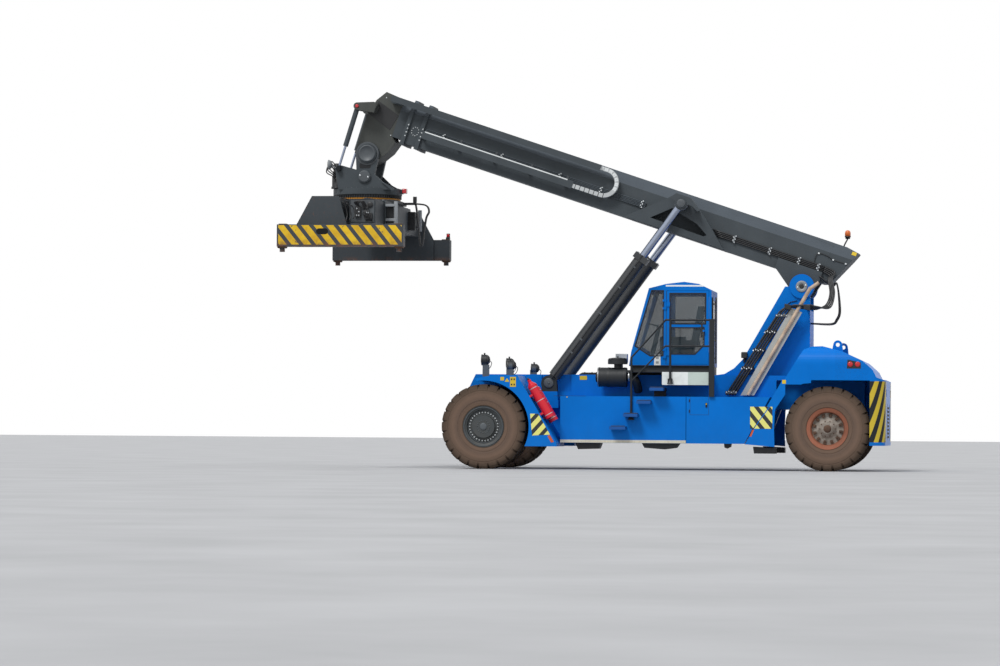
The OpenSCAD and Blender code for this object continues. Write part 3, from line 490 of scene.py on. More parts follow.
class Kit:
    """Collects simple forms, with sizes in mm, into one mesh, and is empty again after make."""

    def __init__(self):
        self.verts, self.faces, self.smooth = [], [], []

    def rings(self, rows, closed=False, smooth=False):
        """A skin over rows of points, each row a ring, with flat ends where it isn't closed."""
        base, count, n = len(self.verts), len(rows), len(rows[0])
        self.verts += [tuple(v) for row in rows for v in row]
        spans = [(base + i * n, base + (i + 1) % count * n) for i in range(count if closed else count - 1)]
        self.faces += [(a + j, a + (j + 1) % n, b + (j + 1) % n, b + j) for a, b in spans for j in range(n)]
        self.smooth += [smooth] * (len(spans) * n)
        if not closed:
            last = len(self.verts) - n
            self.faces += [tuple(range(base + n - 1, base - 1, -1)), tuple(range(last, last + n))]
            self.smooth += [False, False]

    def prism(self, outline, y0, y1, at=W):
        self.rings([[at(x, y, z) for x, z in outline] for y in (y0, y1)])

    def both(self, outline, y0, y1, at=W):
        """The same prism on both sides of the machine."""
        for side in (1, -1):
            self.prism(outline, side * y0, side * y1, at)

    def plate(self, outline, y, thick=3):
        self.prism(outline, y, y + thick)

    def box(self, x0, x1, y0, y1, z0, z1, at=W):
        self.prism(rect(x0, x1, z0, z1), y0, y1, at)

    def turned(self, a, axis, profile, n=16, closed=False):
        """A round form about axis through a, from (radius, distance) pairs; closed leaves its middle open."""
        axis = axis.normalized()
        side = axis.orthogonal().normalized()
        other = axis.cross(side)
        circle = around(n, 1)
        self.rings([[a + axis * (d / 1000) + (side * c + other * s) * (r / 1000) for c, s in circle]
                    for r, d in profile], closed, n > 8 and not closed)

    def band(self, centre, axis, r0, r1, width, n=32):
        """A flat ring about axis, from its near edge at centre."""
        self.turned(centre, axis, [(r1, 0), (r1, width), (r0, width), (r0, 0)], n, True)

    def bolt(self, a, axis, r, h):
        wide, low = r * 1.25, h * 0.25
        self.turned(a, axis, [(wide, 0), (wide, low), (r, low), (r, h * 0.9), (r * 0.75, h)], 6)

    def bolts(self, xs, ys, zs, axis, r, h, at=W):
        """Bolts wherever these x, y and z meet."""
        for place in itertools.product(xs, ys, zs):
            self.bolt(at(*place), axis, r, h)

    def tube(self, points, r, n=10, steps=6, at=W):
        """A round hose of radius r along a smooth curve through points."""
        pts = spline([at(*p) for p in points], steps)
        side = (pts[1] - pts[0]).orthogonal()
        rows = []
        for i, p in enumerate(pts):
            d = (pts[min(i + 1, len(pts) - 1)] - pts[max(i - 1, 0)]).normalized()
            side = (side - d * side.dot(d)).normalized()
            other = d.cross(side)
            rows.append([p + side * (c / 1000) + other * (s / 1000) for c, s in around(n, r)])
        self.rings(rows, False, True)

    def window_rubber(self, outline, width, y0, y1):
        """A flat strip round the outside of an outline that runs anticlockwise."""
        corners = [Vector(p) for p in outline]
        outer = []
        for here, before, after in zip(corners, corners[-1:] + corners, corners[1:] + corners):
            n1, n2 = (Vector((d.y, -d.x)).normalized() for d in (here - before, after - here))
            middle = (n1 + n2).normalized()
            outer.append(here + middle * width / middle.dot(n1))
        for i in range(len(corners)):
            self.prism([corners[i - 1], corners[i], outer[i], outer[i - 1]], y0, y1)

    def make(self, name, colour, body="chassis", bevel=0.0):
        own_slot, material = COLOURS[colour] if isinstance(colour, str) else colour
        me = bpy.data.meshes.new(name)
        me.from_pydata(self.verts, [], self.faces)
        me.polygons.foreach_set("use_smooth", self.smooth)
        bm = bmesh.new()
        bm.from_mesh(me)
        bmesh.ops.recalc_face_normals(bm, faces=bm.faces)
        if bevel:
            edges = [e for e in bm.edges if e.is_manifold and e.calc_face_angle(0) > 0.7]
            bmesh.ops.bevel(bm, geom=edges, offset=bevel / 1000, segments=2, profile=0.5, affect="EDGES",
                            clamp_overlap=True)
        bm.to_mesh(me)
        bm.free()
        ob = add_object(name, me)
        me.materials.append(material)
        if body:
            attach(ob, body)
        self.__init__()
        return ob


k = Kit()

# Wheels: nuts, hub cover and valve in front, nuts and rim clamps behind
STUD_TURN = math.tau * 0.4 / 12
for s, tag, out in SIDES:
    body, at = "front_wheels_" + tag, mirrored(s)
    for dx, dz in around(30, 272):
        k.bolt(at(dx, 1981, WHEEL_Z + dz), out, 13, 26)
    k.make("wheel_nuts_front_" + tag, "nut", body)
    for r0, r1, y in ((300, 316, 1976), (366, 378, 2062)):
        k.band(at(0, y, WHEEL_Z), out, r0, r1, 8, 64)
    for dx, dz in around(16, 120, 0.1):
        k.bolt(at(dx, 2044, WHEEL_Z + dz), out, 9, 12)
    k.turned(at(0, 2043, WHEEL_Z), out, [(70, 0), (70, 8), (52, 12), (20, 14)], 24)
    k.make("hub_cover_front_" + tag, "grey", body)
    k.tube([(40, 1990, 1096), (42, 2030, 1110), (44, 2055, 1128)], 6, at=at)
    k.make("valve_front_" + tag, "dark", body)

    body = "steer_wheel_" + tag
    for dx, dz in around(12, 248, STUD_TURN):
        k.bolt(at(STEER_X + dx, 1468, WHEEL_Z + dz), out, 15, 34)
    for dx, dz in around(10, 145):
        k.bolt(at(STEER_X + dx, 1500, WHEEL_Z + dz), out, 10, 24)
    k.make("wheel_nuts_rear_" + tag, "rusty", body)
    for c, q in around(12, 1, STUD_TURN):
        clamp = [(STEER_X + r * c - t * q, WHEEL_Z + r * q + t * c)
                 for r, t in ((222, -24), (292, -34), (292, 34), (222, 24))]
        tops = (1482, 1488, 1488, 1482)
        k.rings([[at(x, 1466, z) for x, z in clamp], [at(x, y, z) for (x, z), y in zip(clamp, tops)]])
    k.turned(at(STEER_X, 1553, WHEEL_Z), out, [(74, 0), (74, 10), (60, 22), (26, 30)], 24)
    k.make("wheel_clamps_rear_" + tag, "rusty", body, 1.5)

# Plates and stripes on the chassis
k.plate(rect(-398, -328, 1692, 1760), FENDER_Y)
k.plate([(-500, 1668), (-456, 1738), (-412, 1668)], FENDER_Y)
k.plate(rect(-626, -514, 1572, 1762), FENDER_Y)
k.plate(rect(-1850, -1708, 1730, 1806), 850)
k.plate(rect(-5752, -5682, 1664, 1736), BOX_Y)
k.make("blank_plates", "yellow", bevel=0.8)
for x in (-545, -595):
    for z in (1600, 1700):
        k.plate(rect(x - 14, x + 14, z, z + 32), FENDER_Y + 3, 1.5)
k.make("plate_marks", "dark")
k.plate([(-905, 1061), (-1060, 1061), (-1290, 665), (-945, 645)], FENDER_Y + SEAT)
k.make("fender_stripes", striped("stripes_fender", -0.9, 0.05), bevel=0.8)
k.plate([(-5075, 1223), (-5430, 1223), (-5130, 805), (-5075, 805)], BOX_Y + SEAT)
k.plate([(-5452, 1223), (-5498, 1223), (-5498, 805), (-5152, 805)], BOX_Y + SEAT)
k.make("skirt_stripes", striped("stripes_skirt", 0.8, 0.1), bevel=0.8)
k.plate([(-1240, 640), (-1290, 655), (-1366, 528), (-1313, 512)], FENDER_Y + SEAT)
k.plate([(-5064, 655), (-5100, 655), (-5152, 782), (-5116, 782)], BOX_Y + SEAT)
k.make("orange_reflectors", "orange", bevel=1)
k.both(rect(-3848, -1432, 516, 571), BOX_Y + SEAT, BOX_Y + 7)
k.bolts(range(-1560, -3801, -280), (BOX_Y + 7,), (543,), LEFT, 7, 5)
k.make("cream_strips", "cream", bevel=1.5)

# Seams, doors and catches on the side boxes
for seam in ((-3930, -3925, 1062, 1404), (-4283, -4278, 1062, 1404), (-4283, -3925, 1059, 1064)):
    k.both(rect(*seam), BOX_Y - 2, BOX_Y + 1.5)
k.box(-1900, -1300, 1400, 1640, 1407.5, 1412)
for z in (1330, 1130):
    k.box(-3921, -3905, BOX_Y, BOX_Y + 10, z - 26, z + 26)
k.box(-4256, -4222, BOX_Y, BOX_Y + 14, 1205, 1290)
k.box(-4250, -4228, BOX_Y + 12, BOX_Y + 26, 1216, 1240)
k.make("box_doors", "rubber", bevel=1.5)
k.turned(W(-4239, 1664, 1266), LEFT, [(13, 0), (13, 4), (8, 7)])
k.turned(W(-1560, 1651, 1385), LEFT, [(12, 0), (12, 4), (6, 7)])
k.make("yellow_dots", "yellow")

# Black pieces under the side box, and the mat along the deck
k.prism([(-1700, 512), (-2200, 512), (-2160, 400), (-1760, 388)], 1120, 1480)
k.prism([(-2990, 512), (-3700, 512), (-3640, 424), (-3420, 396), (-3040, 424)], 1100, 1500)
k.prism([(-4560, 512), (-4700, 512), (-4690, 452), (-4620, 420), (-4570, 440)], 1250, 1420)
k.bolts((-1820, -2100, -3120, -3560), (1300,), (512,), -UP, 18, 24)
k.make("drain_boxes", "dark", bevel=10)
k.prism([(-1700, 1830.5), (-2700, 1830.5), (-2700, 1842), (-2600, 1872), (-1760, 1872), (-1700, 1842)],
        560, 850)
k.bolts(range(-1790, -2631, -140), (700,), (1872,), UP, 12, 12)
k.make("deck_mat", "rubber", bevel=4)

# Plate on the cab
k.plate([(-3137, 2018), (-3268, 2018), (-3262, 2222), (-3146, 2222)], CAB_Y + SEAT, 4)
k.make("cab_plate", "white", bevel=1)
for z in (2170, 2080):
    k.plate(rect(-3230, -3174, z - 26, z + 18), CAB_Y + 4.2, 2)
k.make("cab_plate_marks", "pale_grey")

# Tyres: the solid's own (radius, width) outline, with grooves between the lugs
LUGS = 24
LUG_SLANT = 0.24
TYRE = [(375, 180), (398, 210), (415, 220), (470, 230), (474, 225), (500, 229), (505, 234), (600, 240),
        (668, 237), (673, 232), (690, 231), (695, 235), (738, 232), (760, 228), (796, 207), (810, 190),
        (810, 70), (810, 24)]
GROOVE = {(738, 232): (734, 218), (760, 228): (748, 206), (796, 207): (768, 190), (810, 190): (771, 176),
          (810, 70): (774, 70)}
# Steps through one lug, as (share of it, side whose groove is cut: 1 left, -1 right, 0 none)
GROOVE_AT = ((0.14, 0), (0.17, 1), (0.33, 1), (0.36, 0), (0.64, 0), (0.67, -1), (0.83, -1), (0.86, 0))


def tyre(x, y, side):
    loop = [(r, -w) for r, w in TYRE] + TYRE[::-1]
    rows = []
    for lug in range(LUGS):
        for share, cut_side in GROOVE_AT:
            row = []
            for r, w in loop:
                a = math.tau / LUGS * (lug + share + LUG_SLANT * min(1, abs(w) / 190) * side)
                if cut_side * w > 0 and (r, abs(w)) in GROOVE:
                    r, low = GROOVE[(r, abs(w))]
                    w = math.copysign(low, w)
                row.append(W(x + r * math.cos(a), y + w, WHEEL_Z + r * math.sin(a)))
            rows.append(row)
    k.rings(rows, True)


for s, tag, _ in SIDES:
    for node, body, places in (("tyres_front_" + tag, "front_wheels_" + tag, ((0, 1840), (0, 1295))),
                               ("tyre_steer_" + tag, "steer_wheel_" + tag, ((STEER_X, 1350),))):
        for x, y in places:
            tyre(x, s * y, s)
        ob = k.make("lugged_" + node, colour_of(node, "tyre_rubber"), body)
        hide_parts(node)

# Lifting cylinders: pipe with its clips along the outer side, gland bolts and lower eye
LIFT_AXIS = Vector((math.cos(LIFT_ANGLE), 0, math.sin(LIFT_ANGLE)))
for s, tag, out in SIDES:
    at = mirrored(s, along(LIFT_X, LIFT_Z, LIFT_ANGLE))
    k.tube([(250, 1060, 0), (300, 1078, 0), (2860, 1078, 0), (2915, 1062, 0)], 13, 10, 3, at)
    k.make("barrel_pipe_" + tag, "dark", "cylinder_barrels")
    for d in (742, 1055, 1680, 2300, 2790):
        k.box(d - 16, d + 16, 1054, 1096, -34, 34, at)
        k.bolt(at(d, 1096, -22), out, 8, 6)
    k.make("barrel_clips_" + tag, "grey", "cylinder_barrels", 3)
    k.bolts((3060,), (835, 1045), (-120, 120), LIFT_AXIS, 13, 14, at)
    k.make("gland_bolts_" + tag, "nut", "cylinder_barrels")
    k.turned(W(LIFT_X, s * 1035.5, LIFT_Z), out, [(98, 0), (98, 14), (84, 20), (30, 22)], 28)
    k.turned(W(LIFT_X, s * 1057, LIFT_Z), out, [(22, 0), (22, 8), (14, 12)], 16)
    k.make("lift_pin_cap_" + tag, "grey")

# Boom: hoses along its side, clamps with pale bolts, doubler and rear fittings
HOSE_W, HOSE_PITCH = 412, 31
BLOCK_U = (-170, 225, 820, 1545)
DOUBLER = [(315, 976), (200, 985), (-300, 972), (-318, 940), (-409, 252), (-395, 236), (340, 168), (359, 186)]
for s, tag, out in SIDES:
    at = mirrored(s, B)
    k.prism(DOUBLER, 434, 457, lambda u, y, w: at(u, y if w < 800 else y - (w - 800) * 0.857, w))
    k.make("boom_doubler_" + tag, colour_of("outer_boom", "boom_paint"), "boom", 3)
    for i in range(4):
        w = HOSE_W + HOSE_PITCH * i
        k.tube([(-300, 480, w), (300, 483, w + 2), (1100, 480, w), (1655 + (w - 192) * 1.117, 478, w)],
               13, 10, 5, at)
    k.make("boom_hoses_" + tag, "hose", "boom")
    for u in BLOCK_U:
        k.box(u - 30, u + 30, 450, 466, 388, 530, at)
        k.box(u - 24, u + 24, 494, 502, 394, 524, at)
    for i in range(4):
        k.box(5000 + 740 * i, 5044 + 740 * i, 452, 490, 470, 600, at)
    k.make("hose_clamps_" + tag, "grey", "boom", 2.5)
    for us, ws, y, sway, h in ((BLOCK_U, (398, 427, 458, 489, 520), 502, 16, 16),
                               ((3475, 4325, 5180, 6390, 7605), (468, 500, 532, 564, 592), 495, 14, 14)):
        for u in us:
            for j, w in enumerate(ws):
                k.bolt(at(u + (sway if j % 2 else -sway), y, w), out, 12, h)
    k.make("clamp_bolts_" + tag, "bolt", "boom")
    k.bolts((8040, 8340), (500,), (330, 405, 480, 555), out, 13, 12, at)
    for c, q in around(10, 1):
        k.bolt(at(8182 + 70 * c, 450, 470 + 84 * q), out, 10, 12)
    k.make("collar_bolts_" + tag, "nut", "boom")
    k.turned(at(2690, 1080, 770), out, [(84, 0), (84, 10), (70, 16), (26, 18)], 28)
    for du, dw in around(3, 55, 0.5):
        k.bolt(at(2690 + du, 1094, 770 + dw), out, 9, 9)
    k.make("rod_pin_cap_" + tag, "grey", "boom")

k.tube([(224, 458, 389), (135, 472, 301), (29, 520, 220), (-60, 575, 190)], 8, at=B)
k.tube([(-99, 462, 438), (-56, 470, 600), (-94, 466, 718), (-289, 464, 717), (-398, 460, 683),
        (-668, 456, 688)], 7, at=B)
k.make("boom_thin_cables", "hose", "boom")
for u, w in ((-94, 718), (-398, 683), (-650, 687)):
    k.box(u - 16, u + 16, 458, 478, w - 14, w + 14, B)
k.make("cable_clips", "white", "boom", 2)
k.rings([[B(-692, y, w), B(-782, y, w), B(-782, y - 57, w + 67), B(-692, y - 57, w + 67)]
         for y, w in ((374, 894), (370, 890))])
k.make("boom_yellow_plate", "yellow", "boom")
k.tube([(-480, 0, 985), (-485, 0, 1060), (-500, 0, 1150), (-505, 0, 1180)], 14, 10, 3, B)
beacon = B(-505, 0, 1172)
k.turned(beacon, UP, [(46, 0), (46, 30), (60, 34), (60, 52)], 20)
k.make("beacon_stalk", "dark", "boom")
k.turned(beacon, UP, [(56, 52), (56, 122), (44, 156), (16, 170)], 24)
k.make("beacon_lens", "amber", "boom")

# Hoses that curve from clamps on the tower to clamps on the boom; they are made in no body, so they keep this
# one shape
for i in range(4):
    k.tube([B(-290, 480, HOSE_W + HOSE_PITCH * i), B(-440 - 22 * i, 505, 372 + 31 * i),
            W(-6494 - 24 * i, 600, 3700), W(-6535 - 28 * i, 720, 3420), W(-6470 - 24 * i, 860, 3200 - 20 * i),
            W(-6300, 900 + 25 * i, 3110 + 15 * i), W(-6192, 880 + 35 * i, 3110 + 25 * i)], 15, 12, 8, as_is)
    ob = k.make("loop_hose_%d" % (i + 1), "hose", None)
    W(-6300, 900, 3110)
    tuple(B(-440, 500, 420))
    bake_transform(ob)
for i in range(2):
    k.tube([B(-250, 515 + 26 * i, 300), B(-520 - 30 * i, 540, 200), W(-6661, 560, 3603),
            W(-6706 - 20 * i, 560, 3104), W(-6650 - 18 * i, 540, 2920 - 14 * i),
            W(-6553, 520, 2838 - 12 * i), W(-6152, 420 + 60 * i, 2844)], 17, 12, 8, as_is)
    ob = k.make("low_hose_%d" % (i + 1), "hose", None)
    W(-6553, 520, 2838)
    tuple(B(-440, 500, 300))
    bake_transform(ob)

# Tower: clamp blocks, hose ends, pivot caps, lamp and its cable
for i in range(4):
    k.tube([(-5540 - 52 * i, 900, 3000), (-5600 - 48 * i, 905 + 6 * i, 3075 - 6 * i),
            (-5740 - 30 * i, 890 + 25 * i, 3150 + 8 * i), (-6000, 885 + 32 * i, 3125 + 18 * i),
            (-6192, 880 + 35 * i, 3110 + 25 * i)], 16, 12, 6)
k.make("tower_hose_ends", "hose")
for x, z in ((-5739, 3150), (-6107, 3140)):
    k.prism([(x - 60, z - 62), (x + 66, z - 34), (x + 60, z + 62), (x - 66, z + 34)], 862, 1010)
    k.box(x - 26, x + 26, 640.3, 870, z - 40, z + 40)
k.make("clamp_blocks", "dark", bevel=8)
for x, z in ((-4599, 1508), (-4892, 1965), (-5113, 2315), (-5335, 2665), (-5560, 2990)):
    for j in range(5):
        k.bolt(W(x + 34 - 46 * j, 916 if j % 2 else 921, z + (9 if j % 2 else -9)), LEFT, 13, 12)
k.make("tower_clamp_bolts", "bolt")
for x, z in ((-4592, 1500), (-5550, 2985)):
    k.box(x - 172, x + 50, 922, 928, z - 24, z + 24)
k.make("tower_clamp_plates", "grey", bevel=2)
for s, tag, out in SIDES:
    k.turned(W(PIVOT_X, s * 680.2, PIVOT_Z), out,
             [(112, 0), (112, 12), (104, 18), (52, 18), (50, 12), (20, 12)], 36)
    k.make("pivot_cap_" + tag, "pale_grey")
    k.turned(W(PIVOT_X, s * 692, PIVOT_Z), out, [(44, 0), (44, 4), (30, 5)], 24)
    k.make("pivot_centre_" + tag, "dark")
    for dx in (-78, 78):
        k.bolt(W(PIVOT_X + dx, s * 698, PIVOT_Z - dx * 0.25), out, 15, 14)
    k.make("pivot_bolts_" + tag, "bolt")
k.box(-4945, -4832, 640.5, 730, 2165, 2285)
k.box(-4900, -4876, 640.5, 700, 2080, 2170)
k.make("tower_lamp", "dark", bevel=10)
k.box(-4832, -4826, 652, 720, 2178, 2272)
k.make("tower_lamp_lens", "lens", bevel=2)
k.tube([(-5000, 655, 2090), (-4960, 668, 2120), (-4890, 690, 2160)], 7)
k.tube([(-5000, 655, 2090), (-5380, 655, 2740), (-5700, 652, 3200), (-5900, 655, 3280)], 7, 8, 3)
k.make("tower_cable", "rubber")

# Energy chain: the pale strip along the edge of its trough, and the links, which turn over a half circle;
# those lower than LOWEST_W lie inside the trough and are left out
LOW_W, HIGH_W = 440.3, 944.7
TURN_R = (HIGH_W - LOW_W) / 2
TURN_U = 4300.0
LOW_RUN, HIGH_RUN = 680.0, 3580.0
LINK_PITCH = 96.0
LOWEST_W = 570
LINK = [(-44, -33), (26, -33), (36, -20), (36, 20), (26, 33), (-44, 33), (-34, 16), (-34, -16)]


def link_place(d):
    """The (u, w) of a link at d along the chain, and the angle it lies at."""
    past = d - LOW_RUN
    turn = past / TURN_R
    if past < 0:
        return TURN_U - past, LOW_W, math.pi
    if turn < math.pi:
        return TURN_U - TURN_R * math.sin(turn), LOW_W + TURN_R * (1 - math.cos(turn)), math.pi - turn
    return TURN_U + past - math.pi * TURN_R, HIGH_W, 0.0


k.box(4990, 7960, 640.2, 643.5, 508, 531, B)
k.make("trough_strip", "white", "boom", 1)
for i in range(int((LOW_RUN + math.pi * TURN_R + HIGH_RUN) / LINK_PITCH)):
    u, w, angle = link_place(10 + LINK_PITCH * (i + 0.5))
    if w >= LOWEST_W:
        c, s = math.cos(angle), math.sin(angle)
        k.prism([(u + p * c - q * s, w + p * s + q * c) for p, q in LINK], 629.5, 634.5, B)
        k.turned(B(u + 14 * c, 634, w + 14 * s), LEFT, [(11, 0), (11, 3), (6, 4)], 12)
k.make("chain_links", "white", "chain_loop", 1.5)

# Head: dark panel, lip and bolts
HEAD_Y = 350
LIP = [(8500, 150), (8570, -70), (8720, -300), (8860, -470), (9060, -470), (9215, -285),
       (9172, -262), (9040, -424), (8880, -424), (8756, -268), (8612, -50), (8548, 160)]
SLOT = [(2520, 5874), (2705, 5874), (2725, 5900), (2725, 5950), (2705, 5976), (2520, 5976), (2500, 5950),
        (2500, 5900)]
k.both([(9086, 818), (8614, 666), (8692, 340), (9206, 524)], HEAD_Y + SEAT, HEAD_Y + 6, B)
k.make("head_panel", "hose", "telescope", 3)
k.both(LIP, HEAD_Y + 0.2, HEAD_Y + 22, B)
k.make("head_lip", colour_of("boom_head", "head_paint"), "telescope", 4)
for s, _, out in SIDES:
    for u, w in ((8680, 900), (8960, 925), (9110, 700), (8640, 250)):
        k.bolt(B(u, s * (HEAD_Y + 0.5), w), out, 11, 10)
k.make("head_bolts", "nut", "telescope")

# Hanger: caps, rings and slot, and the upper ends of the damping cylinders
for s, tag, out in SIDES:
    at = mirrored(s)
    k.turned(at(HANGER_X, 535.2, HANGER_Z), out,
             [(168, 0), (168, 10), (158, 18), (140, 18), (136, 13), (30, 13)], 40)
    k.make("link_cap_" + tag, "grey", "hanger")
    k.band(at(HANGER_X, 485.2, HANGER_Z), out, 190, 228, 8, 44)
    k.turned(at(YOKE_X, 595.2, YOKE_Z), out, [(112, 0), (112, 8), (100, 12)], 32)
    k.make("link_rings_" + tag, "grey", "hanger", 1.5)
    k.prism(SLOT, 485.3, 489, at)
    k.make("link_slot_" + tag, "rubber", "hanger", 1)
    for dx in (-80, 80):
        k.bolt(at(YOKE_X + dx, 607, YOKE_Z + dx * 0.2), out, 15, 14)
    k.make("link_bolts_" + tag, "bolt", "hanger")
    k.turned(at(2745, 704.5, 7085), out, [(34, 0), (34, 12), (22, 18)], 20)
    k.make("damper_pin_" + tag, "red", "telescope")
    k.prism([(2690, 7040), (2722, 7030), (2730, 7100), (2700, 7120)], 664.4, 704, at)
    k.make("damper_cap_" + tag, "yellow", "telescope", 6)

# Yoke: slewing motors, lamps, plates, hoses
MOTOR_X, MOTOR_Y, MOTOR_Z = 3200, 330, 5480.2
FLANGE = [(112, 0), (112, 30), (98, 34), (98, 250), (86, 262)]
k.turned(W(MOTOR_X, MOTOR_Y, MOTOR_Z), UP, FLANGE + [(86, 330), (70, 352), (70, 470), (52, 500)], 28)
k.turned(W(MOTOR_X, -MOTOR_Y, MOTOR_Z), UP, FLANGE + [(60, 300)], 28)
for s, _, _ in SIDES:
    for dx, dy in around(8, 104, math.pi / 8):
        k.bolt(W(MOTOR_X + dx, s * MOTOR_Y + dy, 5510), UP, 8, 14)
k.make("slew_motors", "dark", "yoke_body")
k.tube([(3190, 525, 5880), (3240, 540, 5905), (3290, 540, 5925)], 14)
k.turned(W(3262, 545, 5943), FORE, [(30, 0), (70, 14), (92, 48), (96, 62), (96, 74)], 28)
k.make("yoke_lamp", "pale_grey", "yoke_body")
k.turned(W(3337, 545, 5943), FORE, [(88, 0), (70, 9), (30, 13)], 28)
k.make("yoke_lamp_lens", "lens", "yoke_body")
for i in range(3):
    k.tube([(3230, 420 + 20 * i, 5960 - 60 * i), (3290 + 20 * i, 470, 6010 - 30 * i),
            (3340 + 20 * i, 500, 5900 - 50 * i), (3260, 480 + 15 * i, 5800 - 40 * i),
            (3210, 400 + 20 * i, 5760 - 50 * i)], 11)
k.tube([(2700, 380, 5490), (2660, 420, 5560), (2500, 430, 5570), (2420, 380, 5490)], 16)
k.make("yoke_hoses", "hose", "yoke_body")
k.both([(2010, 5430), (2245, 5602), (2260, 5590), (2060, 5425)], 555.2, 590)
k.prism([(1990, 5440), (1950, 5490), (1938, 5490), (1938, 5400), (1990, 5400)], -60, 60)
k.make("yoke_edges", colour_of("yoke", "boom_paint"), "yoke_body", 4)
k.box(1856, 1938, -75, 75, 5405, 5500)
k.make("yoke_rear_lamp", "red", "yoke_body", 10)
for dx, dy in around(36, 645):
    k.bolt(W(RING_X + dx, dy, 5480), UP, 13, 16)
k.make("ring_bolts", "grey", "yoke_body")

# Turntable: teeth, fittings and the hoses that hang behind it
for c, s in around(84, 1):
    tooth = [(RING_X + r * c - t * s, r * s + t * c) for r, t in ((608, -15), (672, -8), (672, 8), (608, 15))]
    k.rings([[W(x, y, z) for x, y in tooth] for z in (5292, 5345)])
k.make("slewing_teeth", "dark", "turntable", 1)
k.both([(1965, 5182), (3315, 5182), (3315, 5236), (3200, 5250), (2080, 5250), (1965, 5236)], 500, 640)
k.box(1700, 1944, -230, -170, 5190, 5236)
k.box(1690, 1760, -230, -170, 5236, 5355)
k.make("turntable_plates", "dark", "turntable", 5)
for i in range(3):
    y = -235 + 38 * i
    loop = [(1739, 5345), (1690, 5103), (1650, 4769), (1622, 4470), (1590, 4372), (1555, 4470), (1500, 4908),
            (1440, 5060)]
    k.tube([(x, y, z) for x, z in loop] + [(1500, y + 10, 5180), (1720, y + 20, 5215)], 15, 10, 7)
k.make("hanging_hoses", "hose", "turntable")

# Spreader: fittings at both ends of the middle frame
BOTH = [(mirrored(s), out) for s, _, out in SIDES]
for at, _ in BOTH:
    k.tube([(1826, 1460, 4735), (1826, 1460, 5160)], 40, 16, 1, at)
    for z in (4780, 5060):
        k.box(1826, 2025, 1420, 1500, z, z + 50, at)
k.make("frame_posts", "pale_grey", "spreader", 4)
for at, out in BOTH:
    k.box(1880, 2024.6, 1180, 1400, 4740, 5112, at)
    k.box(3255.4, 3330, 1180, 1400, 4760, 5080, at)
    for y in (1505, 1560):
        k.turned(at(RING_X, y, 5125), out, [(58, 0), (58, 40), (40, 44)], 20)
    k.box(2585, 2695, 1500.4, 1590, 4700, 5060, at)
k.make("frame_boxes", "dark", "spreader", 8)
for at, _ in BOTH:
    k.tube([(1876, 1300, 4800), (1836, 1300, 4830), (1836, 1300, 4990), (1876, 1300, 5020)], 10, at=at)
    for i in range(5):
        x = 2600 + 22 * i
        k.tube([(x, 1592, 4760 + 50 * i), (x - 10, 1660, 4800 + 46 * i), (x - 6, 1668, 5040),
                (x + 4, 1640, 5120), (x - 8 + 8 * i, 1560, 5160), (x - 20 + 8 * i, 1500.5, 5146)],
               11, 8, at=at)
    k.tube([(2700, 1490, 5186), (2900, 1600, 5215), (3100, 1490, 5186)], 13, at=at)
    k.tube([(2500, 1490, 5186), (2380, 1600, 5210), (2200, 1490, 5186)], 13, at=at)
k.make("frame_hoses", "hose", "spreader")
for at, out in BOTH:
    for i in range(4):
        k.bolt(at(2612 + 18 * i, 1590, 4730 + 70 * i), out, 12, 16)
    k.bolts((2080, 2320, 2560, 2740, 2980, 3200), (1481,), (5180,), UP, 13, 14, at)
k.make("frame_fittings", "pale_grey", "spreader")

# Outer ends of the end beams: twistlock housings, rails and bolts on top, hoses in the open back
for s, tag, _ in SIDES:
    body, at = "beam_" + tag, mirrored(s)
    for x in (RING_X - 1129.5, RING_X + 1129.5):
        k.box(x - 82, x + 82, 2846, 3007, 4186, 4212, at)
        k.bolts((x - 60, x + 60), (2870, 2982), (4188,), -UP, 12, 12, at)
    k.make("lock_housings_" + tag, "rusty", body, 5)
    for x in (1440, 3680):
        k.box(x, x + 150, 2820, 3000, 4630, 4646, at)
    k.bolts((1530, 2000, 2640, 3280, 3750), (2880,), (4630,), UP, 13, 14, at)
    k.make("beam_top_fittings_" + tag, "rusty", body, 3)
    for i in range(3):
        x = RING_X - s * (60 + 75 * i)
        k.tube([(x, 2750, 4700 + 30 * i), (x - s * 20, 2700, 4820), (x + s * 10, 2690, 4960),
                (x + s * 60, 2730, 5080 - 30 * i)], 11, 8, 6, at)
    k.make("beam_hoses_" + tag, "hose", body)

# Inner ends of the end beams: a plate in the mouth with valves, a chain wheel and hoses
for s, tag, out in SIDES:
    body, x, at = "beam_" + tag, RING_X + s * 330, mirrored(-s)
    k.box(x - 228, x + 228, 2436, 2450, 4707, 5123, at)
    k.make("tube_end_plate_" + tag, "grey", body, 3)
    for dx, z, width, height in ((-120, 4760, 150, 120), (80, 4800, 110, 210), (-60, 4960, 130, 90)):
        k.box(x + dx - width / 2, x + dx + width / 2, 2450, 2500, z, z + height, at)
    k.turned(at(x - 150, 2450, 5040), -out, [(56, 0), (56, 26), (44, 34), (14, 36)], 24)
    for i in range(5):
        k.tube([(x + 40 + 18 * i, 2490, 4990 + 8 * i), (x + 60 + 20 * i, 2540, 5060 + 6 * i),
                (x - 40 + 16 * i, 2546, 5100), (x - 90 + 10 * i, 2490, 5000 - 14 * i)], 10, 8, 6, at)
        k.tube([(x - 190 + 24 * i, 2450, 4730), (x - 170 + 30 * i, 2510, 4770 + 10 * i),
                (x - 140 + 30 * i, 2516, 4870), (x - 110 + 12 * i, 2496, 4930)], 9, 8, 6, at)
    k.make("tube_end_gear_" + tag, "hose", body, 3)
    for dx, z in ((-120, 4880), (-90, 4885), (60, 4830), (100, 4830), (60, 4900), (100, 4960), (-60, 5050)):
        k.bolt(at(x + dx, 2500, z), -out, 12, 18)
    k.make("tube_end_fittings_" + tag, "bolt", body)

